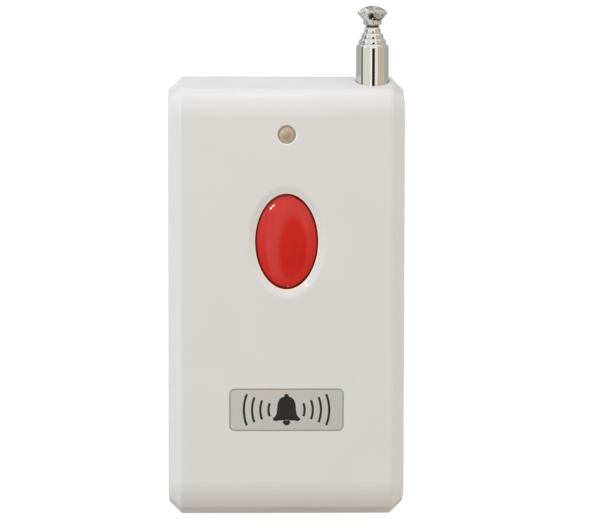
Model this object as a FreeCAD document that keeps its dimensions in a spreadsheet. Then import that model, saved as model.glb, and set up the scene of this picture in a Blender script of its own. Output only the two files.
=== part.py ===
import FreeCAD, Part
import math
import operator
import os
import types

import Sketcher

# Wireless panic button with a telescopic antenna, lying on its back.
# The origin is the middle of the back face. +X is to the right, +Y is towards the antenna
# and +Z comes out of the face with the button. Every size is in millimetres.

SIZES = {
    # Case
    "case_width": 43.2,
    "case_length": 80.85,
    "case_thickness": 16.0,
    "parting_height": 8.0,  # from the back face to the joint between the shells
    "end_lean": 2.0,  # how far the front shell's end faces lean in
    "roll_length": 5.0,  # the face rolls down to each end over this length
    "roll_depth": 1.9,
    "corner_width": 2.3,  # the 45 degree cut along both sides and round the ends
    "edge_round": 1.0,
    "back_edge_round": 0.8,
    "side_wall": 1.8,
    "front_wall": 1.8,
    "back_wall": 1.8,
    "seam_gap": 0.15,
    "lip_height": 0.8,
    "lip_thickness": 0.8,
    "lip_clearance": 0.1,
    "root_depth": 0.36,  # how far bosses, posts and ribs run into the front wall
    # Push button
    "button_inset": 29.75,  # from the antenna end of the case to its middle
    "cap_width": 11.1,
    "cap_length": 17.0,
    "cap_clearance": 0.15,
    "cap_proud": 0.15,
    "crown_height": 0.7,
    "crown_margin": 0.3,  # how far the crown's oval runs past the cap's side
    "cap_wall": 1.2,
    "cap_roof": 1.4,
    "cap_stem_diameter": 4.0,
    "flange_margin": 1.2,  # how far the cap's flange reaches under the front wall
    "flange_thickness": 0.8,
    "flange_gap": 0.05,
    "dish_margin": 1.4,
    "dish_depth": 0.45,
    "dish_round": 1.5,
    "hole_round": 0.25,
    # Lamp
    "lamp_inset": 10.27,  # from the antenna end
    "lamp_diameter": 3.1,
    "lamp_height": 5.3,
    "lamp_flange_diameter": 3.8,
    "lamp_flange_height": 1.0,
    "lamp_proud": 0.2,
    "lamp_clearance": 0.11,
    "lamp_hole_round": 0.3,
    "lead_width": 0.5,
    "lead_spacing": 2.54,
    "lead_tail": 1.0,  # how far leads and legs stand out under the board
    "pin_hole_clearance": 0.15,
    # Metal plate on the face
    "plate_inset": 20.3,  # from the battery end
    "plate_width": 20.7,
    "plate_length": 7.6,
    "plate_corner": 0.9,
    "plate_thickness": 0.3,
    "plate_sink": 0.05,
    "plate_clearance": 0.1,
    # Circuit board
    "board_thickness": 1.6,
    "board_seat": 3.2,  # from the back face to the board's underside
    "board_side_gap": 0.6,
    "board_top_gap": 1.5,
    "board_bottom_inset": 18.35,  # from the battery end
    "board_tube_gap": 0.6,
    "board_post_diameter": 4.0,
    "board_post_shift": 6.5,  # from the antenna's axis
    "board_post_inset": 7.35,  # from the antenna end
    "hold_post_diameter": 3.0,
    "hold_post_side_gap": 5.0,  # from the inside of the left wall
    "hold_post_inset": 15.35,
    # Push switch under the button
    "switch_width": 6.0,
    "switch_base_height": 3.2,
    "switch_frame_thickness": 0.3,
    "switch_height": 5.0,
    "switch_floor": 1.6,  # thickness of the base under the dome
    "plunger_diameter": 3.5,
    "plunger_collar_diameter": 4.6,
    "plunger_clearance": 0.08,
    "plunger_gap": 0.05,  # between its collar and the frame
    "dome_diameter": 4.4,
    "dome_rise": 0.6,
    "dome_thickness": 0.1,
    "dome_gap": 0.02,
    "leg_width": 0.7,
    "leg_thickness": 0.3,
    "leg_reach": 0.55,
    "leg_rise": 1.0,
    "leg_spacing": 4.5,
    # Encoder chip
    "chip_x": -2.0,
    "chip_rise": 11.0,  # from the board's lower edge
    "chip_length": 12.8,
    "chip_width": 7.5,
    "chip_height": 2.3,
    "chip_gap": 0.1,
    "chip_leg_pitch": 1.27,
    "chip_leg_width": 0.42,
    "chip_leg_thickness": 0.25,
    "chip_leg_reach": 1.4,
    "chip_leg_foot": 0.8,
    "chip_leg_height": 1.2,
    # Resonator can
    "can_side_gap": 6.8,  # from the inside of the left wall
    "can_shift": 8.0,  # below the button's middle
    "can_diameter": 8.3,
    "can_height": 3.4,
    "can_rim_diameter": 9.2,
    "can_rim_thickness": 0.5,
    "can_round": 0.5,
    # Radio transistor
    "transistor_side_gap": 8.5,
    "transistor_shift": 4.0,  # above the button's middle
    "transistor_diameter": 4.6,
    "transistor_flat": 1.3,  # from its middle to the flat side
    "transistor_height": 4.6,
    "transistor_leg_height": 1.8,
    "transistor_leg_width": 0.45,
    "transistor_leg_spacing": 1.27,
    # Air coil in the antenna line
    "coil_shift": 7.0,  # from the antenna's axis
    "coil_start": 0.45,  # from the fixed tube's foot
    "coil_diameter": 4.0,
    "coil_wire": 0.6,
    "coil_pitch": 1.1,
    "coil_gap": 0.02,
    # Standing capacitor, small capacitors and resistors
    "capacitor_shift": 7.5,  # from the antenna's axis
    "capacitor_rise": 5.0,  # from the board's lower edge
    "capacitor_diameter": 4.0,
    "capacitor_height": 5.4,
    "capacitor_bead": 0.25,
    "small_part_length": 2.0,
    "small_part_width": 1.25,
    "small_capacitor_height": 0.9,
    "small_capacitor_side_gap": 10.0,
    "small_capacitor_shift": 11.0,  # above the button's middle
    "small_resistor_height": 0.5,
    "small_resistor_shift": 7.5,  # from the antenna's axis
    "small_resistor_start": 10.0,  # below the lamp
    "small_part_pitch": 3.0,
    # Battery and its contacts
    "battery_inset": 9.35,  # from the battery end to its axis
    "battery_diameter": 10.3,
    "battery_length": 27.6,
    "battery_nub_diameter": 5.0,
    "battery_nub_length": 0.9,
    "battery_edge_round": 0.5,
    "battery_lift": 0.4,  # gap between the back wall's inside and the battery
    "battery_rib_gap": 0.3,
    "battery_rib_x": 7.0,
    "battery_rib_thickness": 1.2,
    "battery_rib_length": 5.0,
    "contact_thickness": 0.4,
    "contact_width": 8.0,
    "contact_tail_width": 2.0,
    "contact_tail_seat": 1.5,  # how far the tail lies over the board
    "spring_length": 4.7,
    "spring_diameter": 6.0,
    "spring_wire": 0.6,
    "spring_gap": 0.02,
    # Battery cover
    "cover_margin": 1.35,
    "cover_tongue": 1.0,
    "cover_clearance": 0.12,
    "rail_height": 6.0,
    "grip_width": 12.0,
    "grip_groove_width": 0.8,
    "grip_groove_depth": 0.4,
    "grip_pitch": 1.6,
    "grip_start": 4.0,  # from the cover's outer end to its first groove
    # Case screws
    "screw_inset": 4.6,
    "upper_screw_inset": 6.85,
    "lower_screw_inset": 23.35,
    "screw_diameter": 2.2,
    "screw_length": 9.0,
    "screw_head_diameter": 4.2,
    "screw_head_height": 1.5,
    "screw_head_bevel": 0.38,
    "screw_sink": 1.4,  # how far the heads lie below the back face
    "screw_head_clearance": 0.3,
    "screw_hole_clearance": 0.2,
    "pilot_clearance": 0.02,
    "pilot_spare": 0.3,
    "boss_diameter": 5.0,
    "boss_shoulder_diameter": 6.8,
    "boss_clearance": 0.3,
    "cross_span": 2.4,
    "cross_width": 0.7,
    "cross_depth": 0.8,
    # Antenna
    "antenna_inset": 5.8,  # from the case's side to the antenna's axis
    "antenna_rise": 1.5,  # its axis stands this far over the joint between the shells
    "antenna_reach": 6.1,  # how far the fixed tube stands out of the case
    "antenna_foot_inset": 36.9,  # from the battery end to the fixed tube's foot
    "antenna_hole_clearance": 0.1,
    "tube_diameter": 6.0,
    "tube_wall": 0.25,
    "diameter_loss": 0.97,  # each section is this much thinner than the last
    "slide_clearance": 0.04,
    "mouth_stagger": 1.04,  # each mouth stands this far out of the last
    "mouth_length": 0.7,
    "mouth_lip": 0.1,
    "foot_gap": 0.3,
    "sleeve_length": 3.0,
    "plug_depth": 3.0,
    "plug_head": 1.0,
    "plug_clearance": 0.02,
    "bracket_thickness": 0.6,
    "bracket_width": 5.6,
    "bracket_base_length": 5.0,
    "bracket_rise": 2.6,
    "bracket_board_gap": 0.3,
    "foot_screw_diameter": 2.0,
    "foot_screw_length": 4.0,
    "foot_screw_head_diameter": 3.8,
    "foot_screw_head_height": 1.3,
    "foot_screw_clearance": 0.05,
    "saddle_inset": 29.35,  # from the antenna end
    "saddle_thickness": 1.5,
    # Antenna knob
    "knob_gap": 0.3,
    "knob_collar_diameter": 3.4,
    "knob_collar_length": 1.03,
    "knob_foot_diameter": 2.5,  # the collar is bevelled down to this at its foot
    "knob_bevel_length": 0.28,
    "knob_diameter": 5.54,
    "knob_cone_length": 1.06,
    "knob_rim_length": 0.31,
    "knob_rim_bevel": 0.1,
    "knob_crown": 1.25,
    "knob_bore_clearance": 0.02,
    "knob_bore_depth": 1.5,
}

CHIP_LEG_COUNT = 10  # along each side
GRIP_GROOVE_COUNT = 5
COIL_TURNS = 5
SPRING_TURNS = 4
SMALL_CAPACITOR_COUNT = 3
SMALL_RESISTOR_COUNT = 4
SLIDING_TUBE_COUNT = 3

# A 45 degree cut on a wall's inside is this much smaller, for each millimetre of wall,
# than on its outside.
CUT_LOSS = 2 - math.sqrt(2)

NEAR = 1e-3


# The document and its sheet of sizes

DOC = FreeCAD.newDocument("panic_button")
SHEET = DOC.addObject("Spreadsheet::Sheet", "Sizes")
for row, (alias, number) in enumerate(SIZES.items(), start=1):
    SHEET.set(f"A{row}", str(number))
    SHEET.setAlias(f"A{row}", alias)
DOC.recompute()


# Sums of sizes

class Measure:
    """A sum of sizes: its value in millimetres, and the same sum as a formula on the sheet."""

    def __init__(self, value, formula):
        self.value = value
        self.formula = formula

    def __add__(self, other):
        return combined(operator.add, "+", self, other)

    def __radd__(self, other):
        return combined(operator.add, "+", other, self)

    def __sub__(self, other):
        return combined(operator.sub, "-", self, other)

    def __rsub__(self, other):
        return combined(operator.sub, "-", other, self)

    def __mul__(self, other):
        return combined(operator.mul, "*", self, other)

    def __rmul__(self, other):
        return combined(operator.mul, "*", other, self)

    def __truediv__(self, other):
        return combined(operator.truediv, "/", self, other)

    def __rtruediv__(self, other):
        return combined(operator.truediv, "/", other, self)

    def __neg__(self):
        return 0 - self


def measure(amount):
    """A plain number as a measure, and a measure as it is."""
    if isinstance(amount, Measure):
        return amount
    return Measure(float(amount), repr(float(amount)))


def combined(action, sign, first, second):
    """Two measures joined by a sign."""
    first = measure(first)
    second = measure(second)
    return Measure(action(first.value, second.value), f"({first.formula} {sign} {second.formula})")


def root(amount):
    """The square root of a measure."""
    return Measure(math.sqrt(amount.value), f"sqrt({amount.formula})")


size = types.SimpleNamespace(
    **{alias: Measure(number, f"Sizes.{alias}") for alias, number in SIZES.items()}
)


# Levels and places that several pieces share

HALF_WIDTH = size.case_width / 2
HALF_LENGTH = size.case_length / 2
FACE = size.case_thickness
FACE_INSIDE = FACE - size.front_wall
BACK_INSIDE = size.back_wall
WALL_INSIDE = HALF_WIDTH - size.side_wall
EDGE_Y = HALF_LENGTH - size.end_lean
EDGE_HEIGHT = FACE - size.roll_depth
ROLL_START = EDGE_Y - size.roll_length
BUTTON_Y = HALF_LENGTH - size.button_inset
LAMP_Y = HALF_LENGTH - size.lamp_inset
BATTERY_Y = size.battery_inset - HALF_LENGTH
BOARD_BOTTOM = size.board_bottom_inset - HALF_LENGTH
BOARD_TOP = size.board_seat + size.board_thickness
PLUNGER_TOP = BOARD_TOP + size.switch_height
HOLE_WIDTH = size.cap_width + 2 * size.cap_clearance
HOLE_LENGTH = size.cap_length + 2 * size.cap_clearance
FLANGE_TOP = FACE_INSIDE - size.flange_gap
FLANGE_BOTTOM = FLANGE_TOP - size.flange_thickness
SCREW_X = HALF_WIDTH - size.screw_inset
SCREW_SEAT = size.screw_sink + size.screw_head_height
SCREW_LOW = size.lower_screw_inset - HALF_LENGTH
SCREW_PLACES = [
    (-SCREW_X, HALF_LENGTH - size.upper_screw_inset),
    (-SCREW_X, SCREW_LOW),
    (SCREW_X, SCREW_LOW),
]
ANTENNA_X = HALF_WIDTH - size.antenna_inset
ANTENNA_Z = size.parting_height + size.antenna_rise
TUBE_RADIUS = size.tube_diameter / 2
MOUTH_Y = HALF_LENGTH + size.antenna_reach
TUBE_FOOT = size.antenna_foot_inset - HALF_LENGTH
PLUG_FOOT = TUBE_FOOT - size.plug_head
SECTION_FOOT = TUBE_FOOT + size.plug_depth + size.foot_gap
BRACKET_BACK = PLUG_FOOT - size.bracket_thickness
BOARD_POST = (ANTENNA_X - size.board_post_shift, HALF_LENGTH - size.board_post_inset)
HOLD_POST = (size.hold_post_side_gap - WALL_INSIDE, HALF_LENGTH - size.hold_post_inset)
BATTERY_RADIUS = size.battery_diameter / 2
BATTERY_Z = BACK_INSIDE + size.battery_lift + BATTERY_RADIUS
BAY_HALF = (
    size.battery_length + size.battery_nub_length + size.spring_length + 2 * size.contact_thickness
) / 2
COVER_FRONT = BATTERY_Y + BATTERY_RADIUS + size.cover_margin
TONGUE_LOW = size.back_wall / 2


# Making and measuring features

def bind(thing, path, amount):
    """Ties one property of an object to a formula on the sheet."""
    thing.setExpression(path, measure(amount).formula)


def place(thing, x=0, y=0, z=0):
    """Ties an object's place to the sheet."""
    bind(thing, "Placement.Base.x", x)
    bind(thing, "Placement.Base.y", y)
    bind(thing, "Placement.Base.z", z)


def new_body(name):
    """An empty body with its own label."""
    body = DOC.addObject("PartDesign::Body", name)
    body.Label = name
    return body


def new_feature(body, kind, name):
    """A feature at the end of a body."""
    return body.newObject(f"PartDesign::{kind}", f"{body.Name}_{name}")


def drawing_on(body, plane, level=0):
    """A sketch on one of the body's own planes, moved to a level along +X, +Y or +Z."""
    drawing = body.newObject("Sketcher::SketchObject", f"{body.Name}_drawing")
    support = [item for item in body.Origin.OriginFeatures if item.Role == plane]
    drawing.AttachmentSupport = [(support[0], "")]
    drawing.MapMode = "FlatFace"
    bind(drawing, "AttachmentOffset.Base.z", -measure(level) if plane == "XZ_Plane" else level)
    return drawing


def faces_back(drawing):
    """Whether a drawing's own normal points along -Y, as it does on the XZ plane."""
    return drawing.AttachmentSupport[0][0].Role == "XZ_Plane"


def tied(drawing, kind, where, amount):
    """Adds one constraint whose amount is a formula on the sheet."""
    amount = measure(amount)
    number = drawing.addConstraint(Sketcher.Constraint(kind, *where, amount.value))
    bind(drawing, f"Constraints[{number}]", amount)


def located(drawing, geometry, point, x, y):
    """Fixes a point of a drawing at x and y from the origin."""
    for kind, axis, amount in (("DistanceX", -2, x), ("DistanceY", -1, y)):
        if isinstance(amount, Measure):
            tied(drawing, kind, (-1, 1, geometry, point), amount)
        else:
            drawing.addConstraint(Sketcher.Constraint("PointOnObject", geometry, point, axis))


class Bend:
    """A corner of an outline that is reached by an arc, which bulges to the left of its run."""

    def __init__(self, x, y, radius):
        self.x = x
        self.y = y
        self.radius = radius


def flat_point(corner):
    """The first position of an outline's corner."""
    x, y = (corner.x, corner.y) if isinstance(corner, Bend) else corner
    return FreeCAD.Vector(measure(x).value, measure(y).value, 0)


def arc_through(start, end, radius):
    """A short arc from start to end that bulges to the left of the line between them."""
    chord = end - start
    left = FreeCAD.Vector(-chord.y, chord.x, 0).normalize()
    half = chord.Length / 2
    rise = radius - math.sqrt(max(radius * radius - half * half, 0))
    return Part.Arc(start, (start + end) / 2 + left * rise, end)


def outline(drawing, corners):
    """A closed outline through corners, each an (x, y) pair or a Bend; 0 stands for an axis."""
    first = drawing.GeometryCount
    count = len(corners)
    for index, corner in enumerate(corners):
        start = flat_point(corners[index - 1])
        end = flat_point(corner)
        if isinstance(corner, Bend):
            run = arc_through(start, end, measure(corner.radius).value)
        else:
            run = Part.LineSegment(start, end)
        drawing.addGeometry(run, False)
    ends = []
    for index, corner in enumerate(corners):
        at_end = (drawing.getPoint(first + index, 2) - flat_point(corner)).Length < NEAR
        ends.append((2, 1) if at_end else (1, 2))
    for index in range(count):
        after = (index + 1) % count
        joint = (first + index, ends[index][0], first + after, ends[after][1])
        drawing.addConstraint(Sketcher.Constraint("Coincident", *joint))
    for index, corner in enumerate(corners):
        x, y = (corner.x, corner.y) if isinstance(corner, Bend) else corner
        located(drawing, first + index, ends[index][0], x, y)
        if isinstance(corner, Bend):
            tied(drawing, "Radius", (first + index,), corner.radius)


def circle(drawing, x, y, diameter):
    """A circle; a plain 0 puts its middle on an axis."""
    middle = FreeCAD.Vector(measure(x).value, measure(y).value, 0)
    ring = Part.Circle(middle, FreeCAD.Vector(0, 0, 1), measure(diameter).value / 2)
    number = drawing.addGeometry(ring, False)
    located(drawing, number, 3, x, y)
    tied(drawing, "Diameter", (number,), diameter)


def oval(drawing, y, width, length):
    """An ellipse with its middle on the vertical axis and its long way along it."""
    middle = FreeCAD.Vector(0, measure(y).value, 0)
    top = middle + FreeCAD.Vector(0, measure(length).value / 2, 0)
    side = middle + FreeCAD.Vector(measure(width).value / 2, 0, 0)
    curve = drawing.addGeometry(Part.Ellipse(top, side, middle), False)
    drawing.exposeInternalGeometry(curve)
    located(drawing, curve, 3, 0, y)
    drawing.addConstraint(Sketcher.Constraint("Vertical", curve + 1))
    tied(drawing, "Distance", (curve + 1,), length)
    tied(drawing, "Distance", (curve + 2,), width)


def rectangle(drawing, low_x, high_x, low_y, high_y):
    """An upright rectangle."""
    outline(drawing, [(low_x, low_y), (high_x, low_y), (high_x, high_y), (low_x, high_y)])


def case_plan(drawing, inset=0):
    """The case's outline from the front, with its corners cut, moved in by inset."""
    x = HALF_WIDTH - inset
    y = HALF_LENGTH - inset
    cut = size.corner_width - inset * CUT_LOSS
    outline(
        drawing,
        [
            (cut - x, -y),
            (x - cut, -y),
            (x, cut - y),
            (x, y - cut),
            (x - cut, y),
            (cut - x, y),
            (-x, y - cut),
            (-x, cut - y),
        ],
    )


def pad(body, drawing, length, forward=True, both_ways=False):
    """Adds a drawing's area times a length, towards +X, +Y or +Z unless forward is False."""
    feature = new_feature(body, "Pad", "pad")
    feature.Profile = drawing
    feature.Reversed = faces_back(drawing) == forward
    feature.SideType = "Symmetric" if both_ways else "One side"
    bind(feature, "Length", length)
    return feature


def pocket(body, drawing, length, forward=True, both_ways=False):
    """Cuts a drawing's area times a length, towards +X, +Y or +Z unless forward is False."""
    feature = new_feature(body, "Pocket", "pocket")
    feature.Profile = drawing
    feature.Reversed = faces_back(drawing) != forward
    feature.SideType = "Symmetric" if both_ways else "One side"
    bind(feature, "Length", length)
    return feature


def turned(body, corners, plane="XY_Plane", axis="V_Axis"):
    """A turned solid: half its section, spun about the drawing's upright or level axis."""
    drawing = drawing_on(body, plane)
    outline(drawing, corners)
    feature = new_feature(body, "Revolution", "turn")
    feature.Profile = drawing
    feature.ReferenceAxis = (drawing, [axis])
    feature.Angle = 360
    return feature


def rows(body, feature, direction, pitch, count):
    """Copies of a feature in a row, a pitch apart."""
    pattern = new_feature(body, "LinearPattern", "rows")
    pattern.Originals = [feature]
    pattern.Direction = direction
    pattern.Mode = "Spacing"
    bind(pattern, "Offset", pitch)
    pattern.Occurrences = count
    body.Tip = pattern
    return pattern


def edge_names(feature, wanted):
    """The names of a feature's edges that a test picks."""
    DOC.recompute()
    edges = enumerate(feature.Shape.Edges, start=1)
    return [f"Edge{number}" for number, edge in edges if wanted(edge)]


def rounded(body, base, wanted, radius):
    """Rounds the edges that a test picks."""
    names = edge_names(base, wanted)
    feature = new_feature(body, "Fillet", "round")
    feature.Base = (base, names)
    bind(feature, "Radius", radius)
    return feature


def bevelled(body, base, wanted, width):
    """Cuts the edges that a test picks at 45 degrees."""
    names = edge_names(base, wanted)
    feature = new_feature(body, "Chamfer", "bevel")
    feature.Base = (base, names)
    bind(feature, "Size", width)
    return feature


def flat_in_x(edge, distance):
    """Whether an edge keeps one distance from the middle plane, on either side."""
    box = edge.BoundBox
    return box.XLength < NEAR and abs(abs(box.XMin) - measure(distance).value) < NEAR


def at_height(edge, height):
    """Whether an edge lies level at a height."""
    box = edge.BoundBox
    return box.ZLength < NEAR and abs(box.ZMin - measure(height).value) < NEAR


def block(name, low, lengths):
    """A box from its lowest corner and its three lengths."""
    box = DOC.addObject("Part::Box", name)
    box.Label = name
    place(box, *low)
    for side, amount in zip(("Length", "Width", "Height"), lengths):
        bind(box, side, amount)
    return box


def cylinder(name, x, y, z, radius, height):
    """An upright cylinder on its lower end."""
    drum = DOC.addObject("Part::Cylinder", name)
    drum.Label = name
    place(drum, x, y, z)
    bind(drum, "Radius", radius)
    bind(drum, "Height", height)
    return drum


def group(name, members):
    """Separate like pieces under one name."""
    members_together = DOC.addObject("Part::Compound", name)
    members_together.Label = name
    members_together.Links = members
    return members_together


def coil(name, diameter, wire, pitch, turns):
    """A wire wound along +Z about the origin, before it is placed."""
    path = DOC.addObject("Part::Helix", f"{name}_path")
    bind(path, "Radius", diameter / 2)
    bind(path, "Pitch", pitch)
    bind(path, "Height", pitch * turns)
    path.SegmentLength = 1
    section = DOC.addObject("Part::Circle", f"{name}_section")
    bind(section, "Radius", wire / 2)
    bind(section, "Placement.Base.x", diameter / 2)
    section.Placement.Rotation = FreeCAD.Rotation(FreeCAD.Vector(1, 0, 0), 90)
    wound = DOC.addObject("Part::Sweep", name)
    wound.Label = name
    wound.Sections = [section]
    wound.Spine = (path, edge_names(path, lambda edge: True))
    wound.Solid = True
    wound.Frenet = True
    return wound


# Case

def front_cavity():
    """The space inside the front shell, which is cut out of it."""
    body = new_body("front_cavity")
    drawing = drawing_on(body, "YZ_Plane")
    foot = HALF_LENGTH - size.side_wall
    shoulder = EDGE_Y - size.side_wall
    shoulder_height = EDGE_HEIGHT - size.front_wall
    outline(
        drawing,
        [
            (-foot, size.parting_height),
            (foot, size.parting_height),
            (shoulder, shoulder_height),
            (ROLL_START, FACE_INSIDE),
            (-ROLL_START, FACE_INSIDE),
            (-shoulder, shoulder_height),
        ],
    )
    solid = pad(body, drawing, 2 * WALL_INSIDE, both_ways=True)
    above = size.parting_height.value + NEAR
    bevelled(
        body,
        solid,
        lambda edge: flat_in_x(edge, WALL_INSIDE) and edge.BoundBox.ZMax > above,
        size.corner_width - size.side_wall * CUT_LOSS,
    )
    return body


def front_outside(body):
    """The front shell's outside: rolled ends, leaning end faces and the cut along both sides."""
    drawing = drawing_on(body, "YZ_Plane")
    roll_radius = (size.roll_length * size.roll_length + size.roll_depth * size.roll_depth) / (
        2 * size.roll_depth
    )
    outline(
        drawing,
        [
            (HALF_LENGTH, size.parting_height),
            (-HALF_LENGTH, size.parting_height),
            (-EDGE_Y, EDGE_HEIGHT),
            Bend(-ROLL_START, FACE, roll_radius),
            (ROLL_START, FACE),
            Bend(EDGE_Y, EDGE_HEIGHT, roll_radius),
        ],
    )
    solid = pad(body, drawing, size.case_width, both_ways=True)
    above = size.parting_height.value + NEAR
    cut = bevelled(
        body,
        solid,
        lambda edge: flat_in_x(edge, HALF_WIDTH) and edge.BoundBox.ZMax > above,
        size.corner_width,
    )

    def outer_edge(edge):
        box = edge.BoundBox
        along = flat_in_x(edge, HALF_WIDTH) or flat_in_x(edge, HALF_WIDTH - size.corner_width)
        across = at_height(edge, EDGE_HEIGHT) and box.XLength > size.case_width.value / 2
        corners = [vertex.Point for vertex in edge.Vertexes]
        mitre = (
            len(corners) == 2
            and abs(abs(corners[0].x - corners[1].x) - size.corner_width.value) < NEAR
            and max(point.z for point in corners) > EDGE_HEIGHT.value - NEAR
        )
        return box.ZMax > above and (along or across or mitre)

    return rounded(body, cut, outer_edge, size.edge_round)


def front_shell(cavity):
    """The front half of the case."""
    body = new_body("front_shell")
    front_outside(body)
    hollow = new_feature(body, "Boolean", "hollow")
    hollow.setObjects([cavity])
    hollow.Type = "Cut"

    rebate = drawing_on(body, "XY_Plane", size.parting_height)
    case_plan(rebate, size.side_wall - size.lip_thickness)
    pocket(body, rebate, size.lip_height + size.lip_clearance)

    root_height = FACE_INSIDE + size.root_depth
    bosses = drawing_on(body, "XY_Plane", size.parting_height)
    for x, y in SCREW_PLACES:
        circle(bosses, x, y, size.boss_diameter)
    pad(body, bosses, root_height - size.parting_height)
    pilots = drawing_on(body, "XY_Plane", size.parting_height)
    for x, y in SCREW_PLACES:
        circle(pilots, x, y, size.screw_diameter + 2 * size.pilot_clearance)
    pocket(body, pilots, SCREW_SEAT + size.screw_length + size.pilot_spare - size.parting_height)

    posts = drawing_on(body, "XY_Plane", BOARD_TOP)
    circle(posts, *HOLD_POST, size.hold_post_diameter)
    circle(posts, *BOARD_POST, size.hold_post_diameter)
    pad(body, posts, root_height - BOARD_TOP)

    rib_foot = BATTERY_Z + BATTERY_RADIUS + size.battery_rib_gap
    ribs = drawing_on(body, "XY_Plane", rib_foot)
    for side in (-1, 1):
        middle = size.battery_rib_x * side
        rectangle(
            ribs,
            middle - size.battery_rib_thickness / 2,
            middle + size.battery_rib_thickness / 2,
            BATTERY_Y - size.battery_rib_length / 2,
            BATTERY_Y + size.battery_rib_length / 2,
        )
    pad(body, ribs, root_height - rib_foot)

    notch = drawing_on(body, "XZ_Plane", HALF_LENGTH + size.edge_round)
    circle(notch, ANTENNA_X, ANTENNA_Z, size.tube_diameter + 2 * size.antenna_hole_clearance)
    pocket(body, notch, size.side_wall + size.end_lean + 2 * size.edge_round, forward=False)

    top = drawing_on(body, "XY_Plane", FACE)
    reach = 2 * size.dish_margin
    oval(top, BUTTON_Y, HOLE_WIDTH + reach, HOLE_LENGTH + reach)
    bottom = drawing_on(body, "XY_Plane", FACE - size.dish_depth)
    oval(bottom, BUTTON_Y, HOLE_WIDTH, HOLE_LENGTH)
    dish = new_feature(body, "SubtractiveLoft", "dish")
    dish.Profile = top
    dish.Sections = [bottom]
    dish.Ruled = True
    hole = drawing_on(body, "XY_Plane", FACE)
    oval(hole, BUTTON_Y, HOLE_WIDTH, HOLE_LENGTH)
    pocket(body, hole, size.front_wall * 2, forward=False)

    lamp_hole = drawing_on(body, "XY_Plane", FACE)
    circle(lamp_hole, 0, LAMP_Y, size.lamp_diameter + 2 * size.lamp_clearance)
    pocket(body, lamp_hole, size.front_wall * 2, forward=False)

    recess = drawing_on(body, "XY_Plane", FACE)
    plate_outline(recess, size.plate_clearance)
    recessed = pocket(body, recess, size.plate_thickness + size.plate_sink, forward=False)

    def dish_edge(edge):
        box = edge.BoundBox
        wide = abs(box.XLength - (HOLE_WIDTH + reach).value) < NEAR
        return at_height(edge, FACE) and wide

    def hole_edge(edge):
        box = edge.BoundBox
        return at_height(edge, FACE - size.dish_depth) and abs(box.XLength - HOLE_WIDTH.value) < NEAR

    def lamp_edge(edge):
        width = (size.lamp_diameter + 2 * size.lamp_clearance).value
        return at_height(edge, FACE) and abs(edge.BoundBox.XLength - width) < NEAR

    softened = rounded(body, recessed, dish_edge, size.dish_round)
    eased = rounded(body, softened, hole_edge, size.hole_round)
    rounded(body, eased, lamp_edge, size.lamp_hole_round)
    return body


def plate_outline(drawing, clearance=0):
    """The metal plate's outline with its round corners, grown by a clearance."""
    right = size.plate_width / 2 + clearance
    left = -right
    middle = size.plate_inset - HALF_LENGTH
    low = middle - size.plate_length / 2 - clearance
    high = middle + size.plate_length / 2 + clearance
    turn = size.plate_corner + clearance
    outline(
        drawing,
        [
            (left, high - turn),
            Bend(left + turn, high, turn),
            (right - turn, high),
            Bend(right, high - turn, turn),
            (right, low + turn),
            Bend(right - turn, low, turn),
            (left + turn, low),
            Bend(left, low + turn, turn),
        ],
    )


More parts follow.
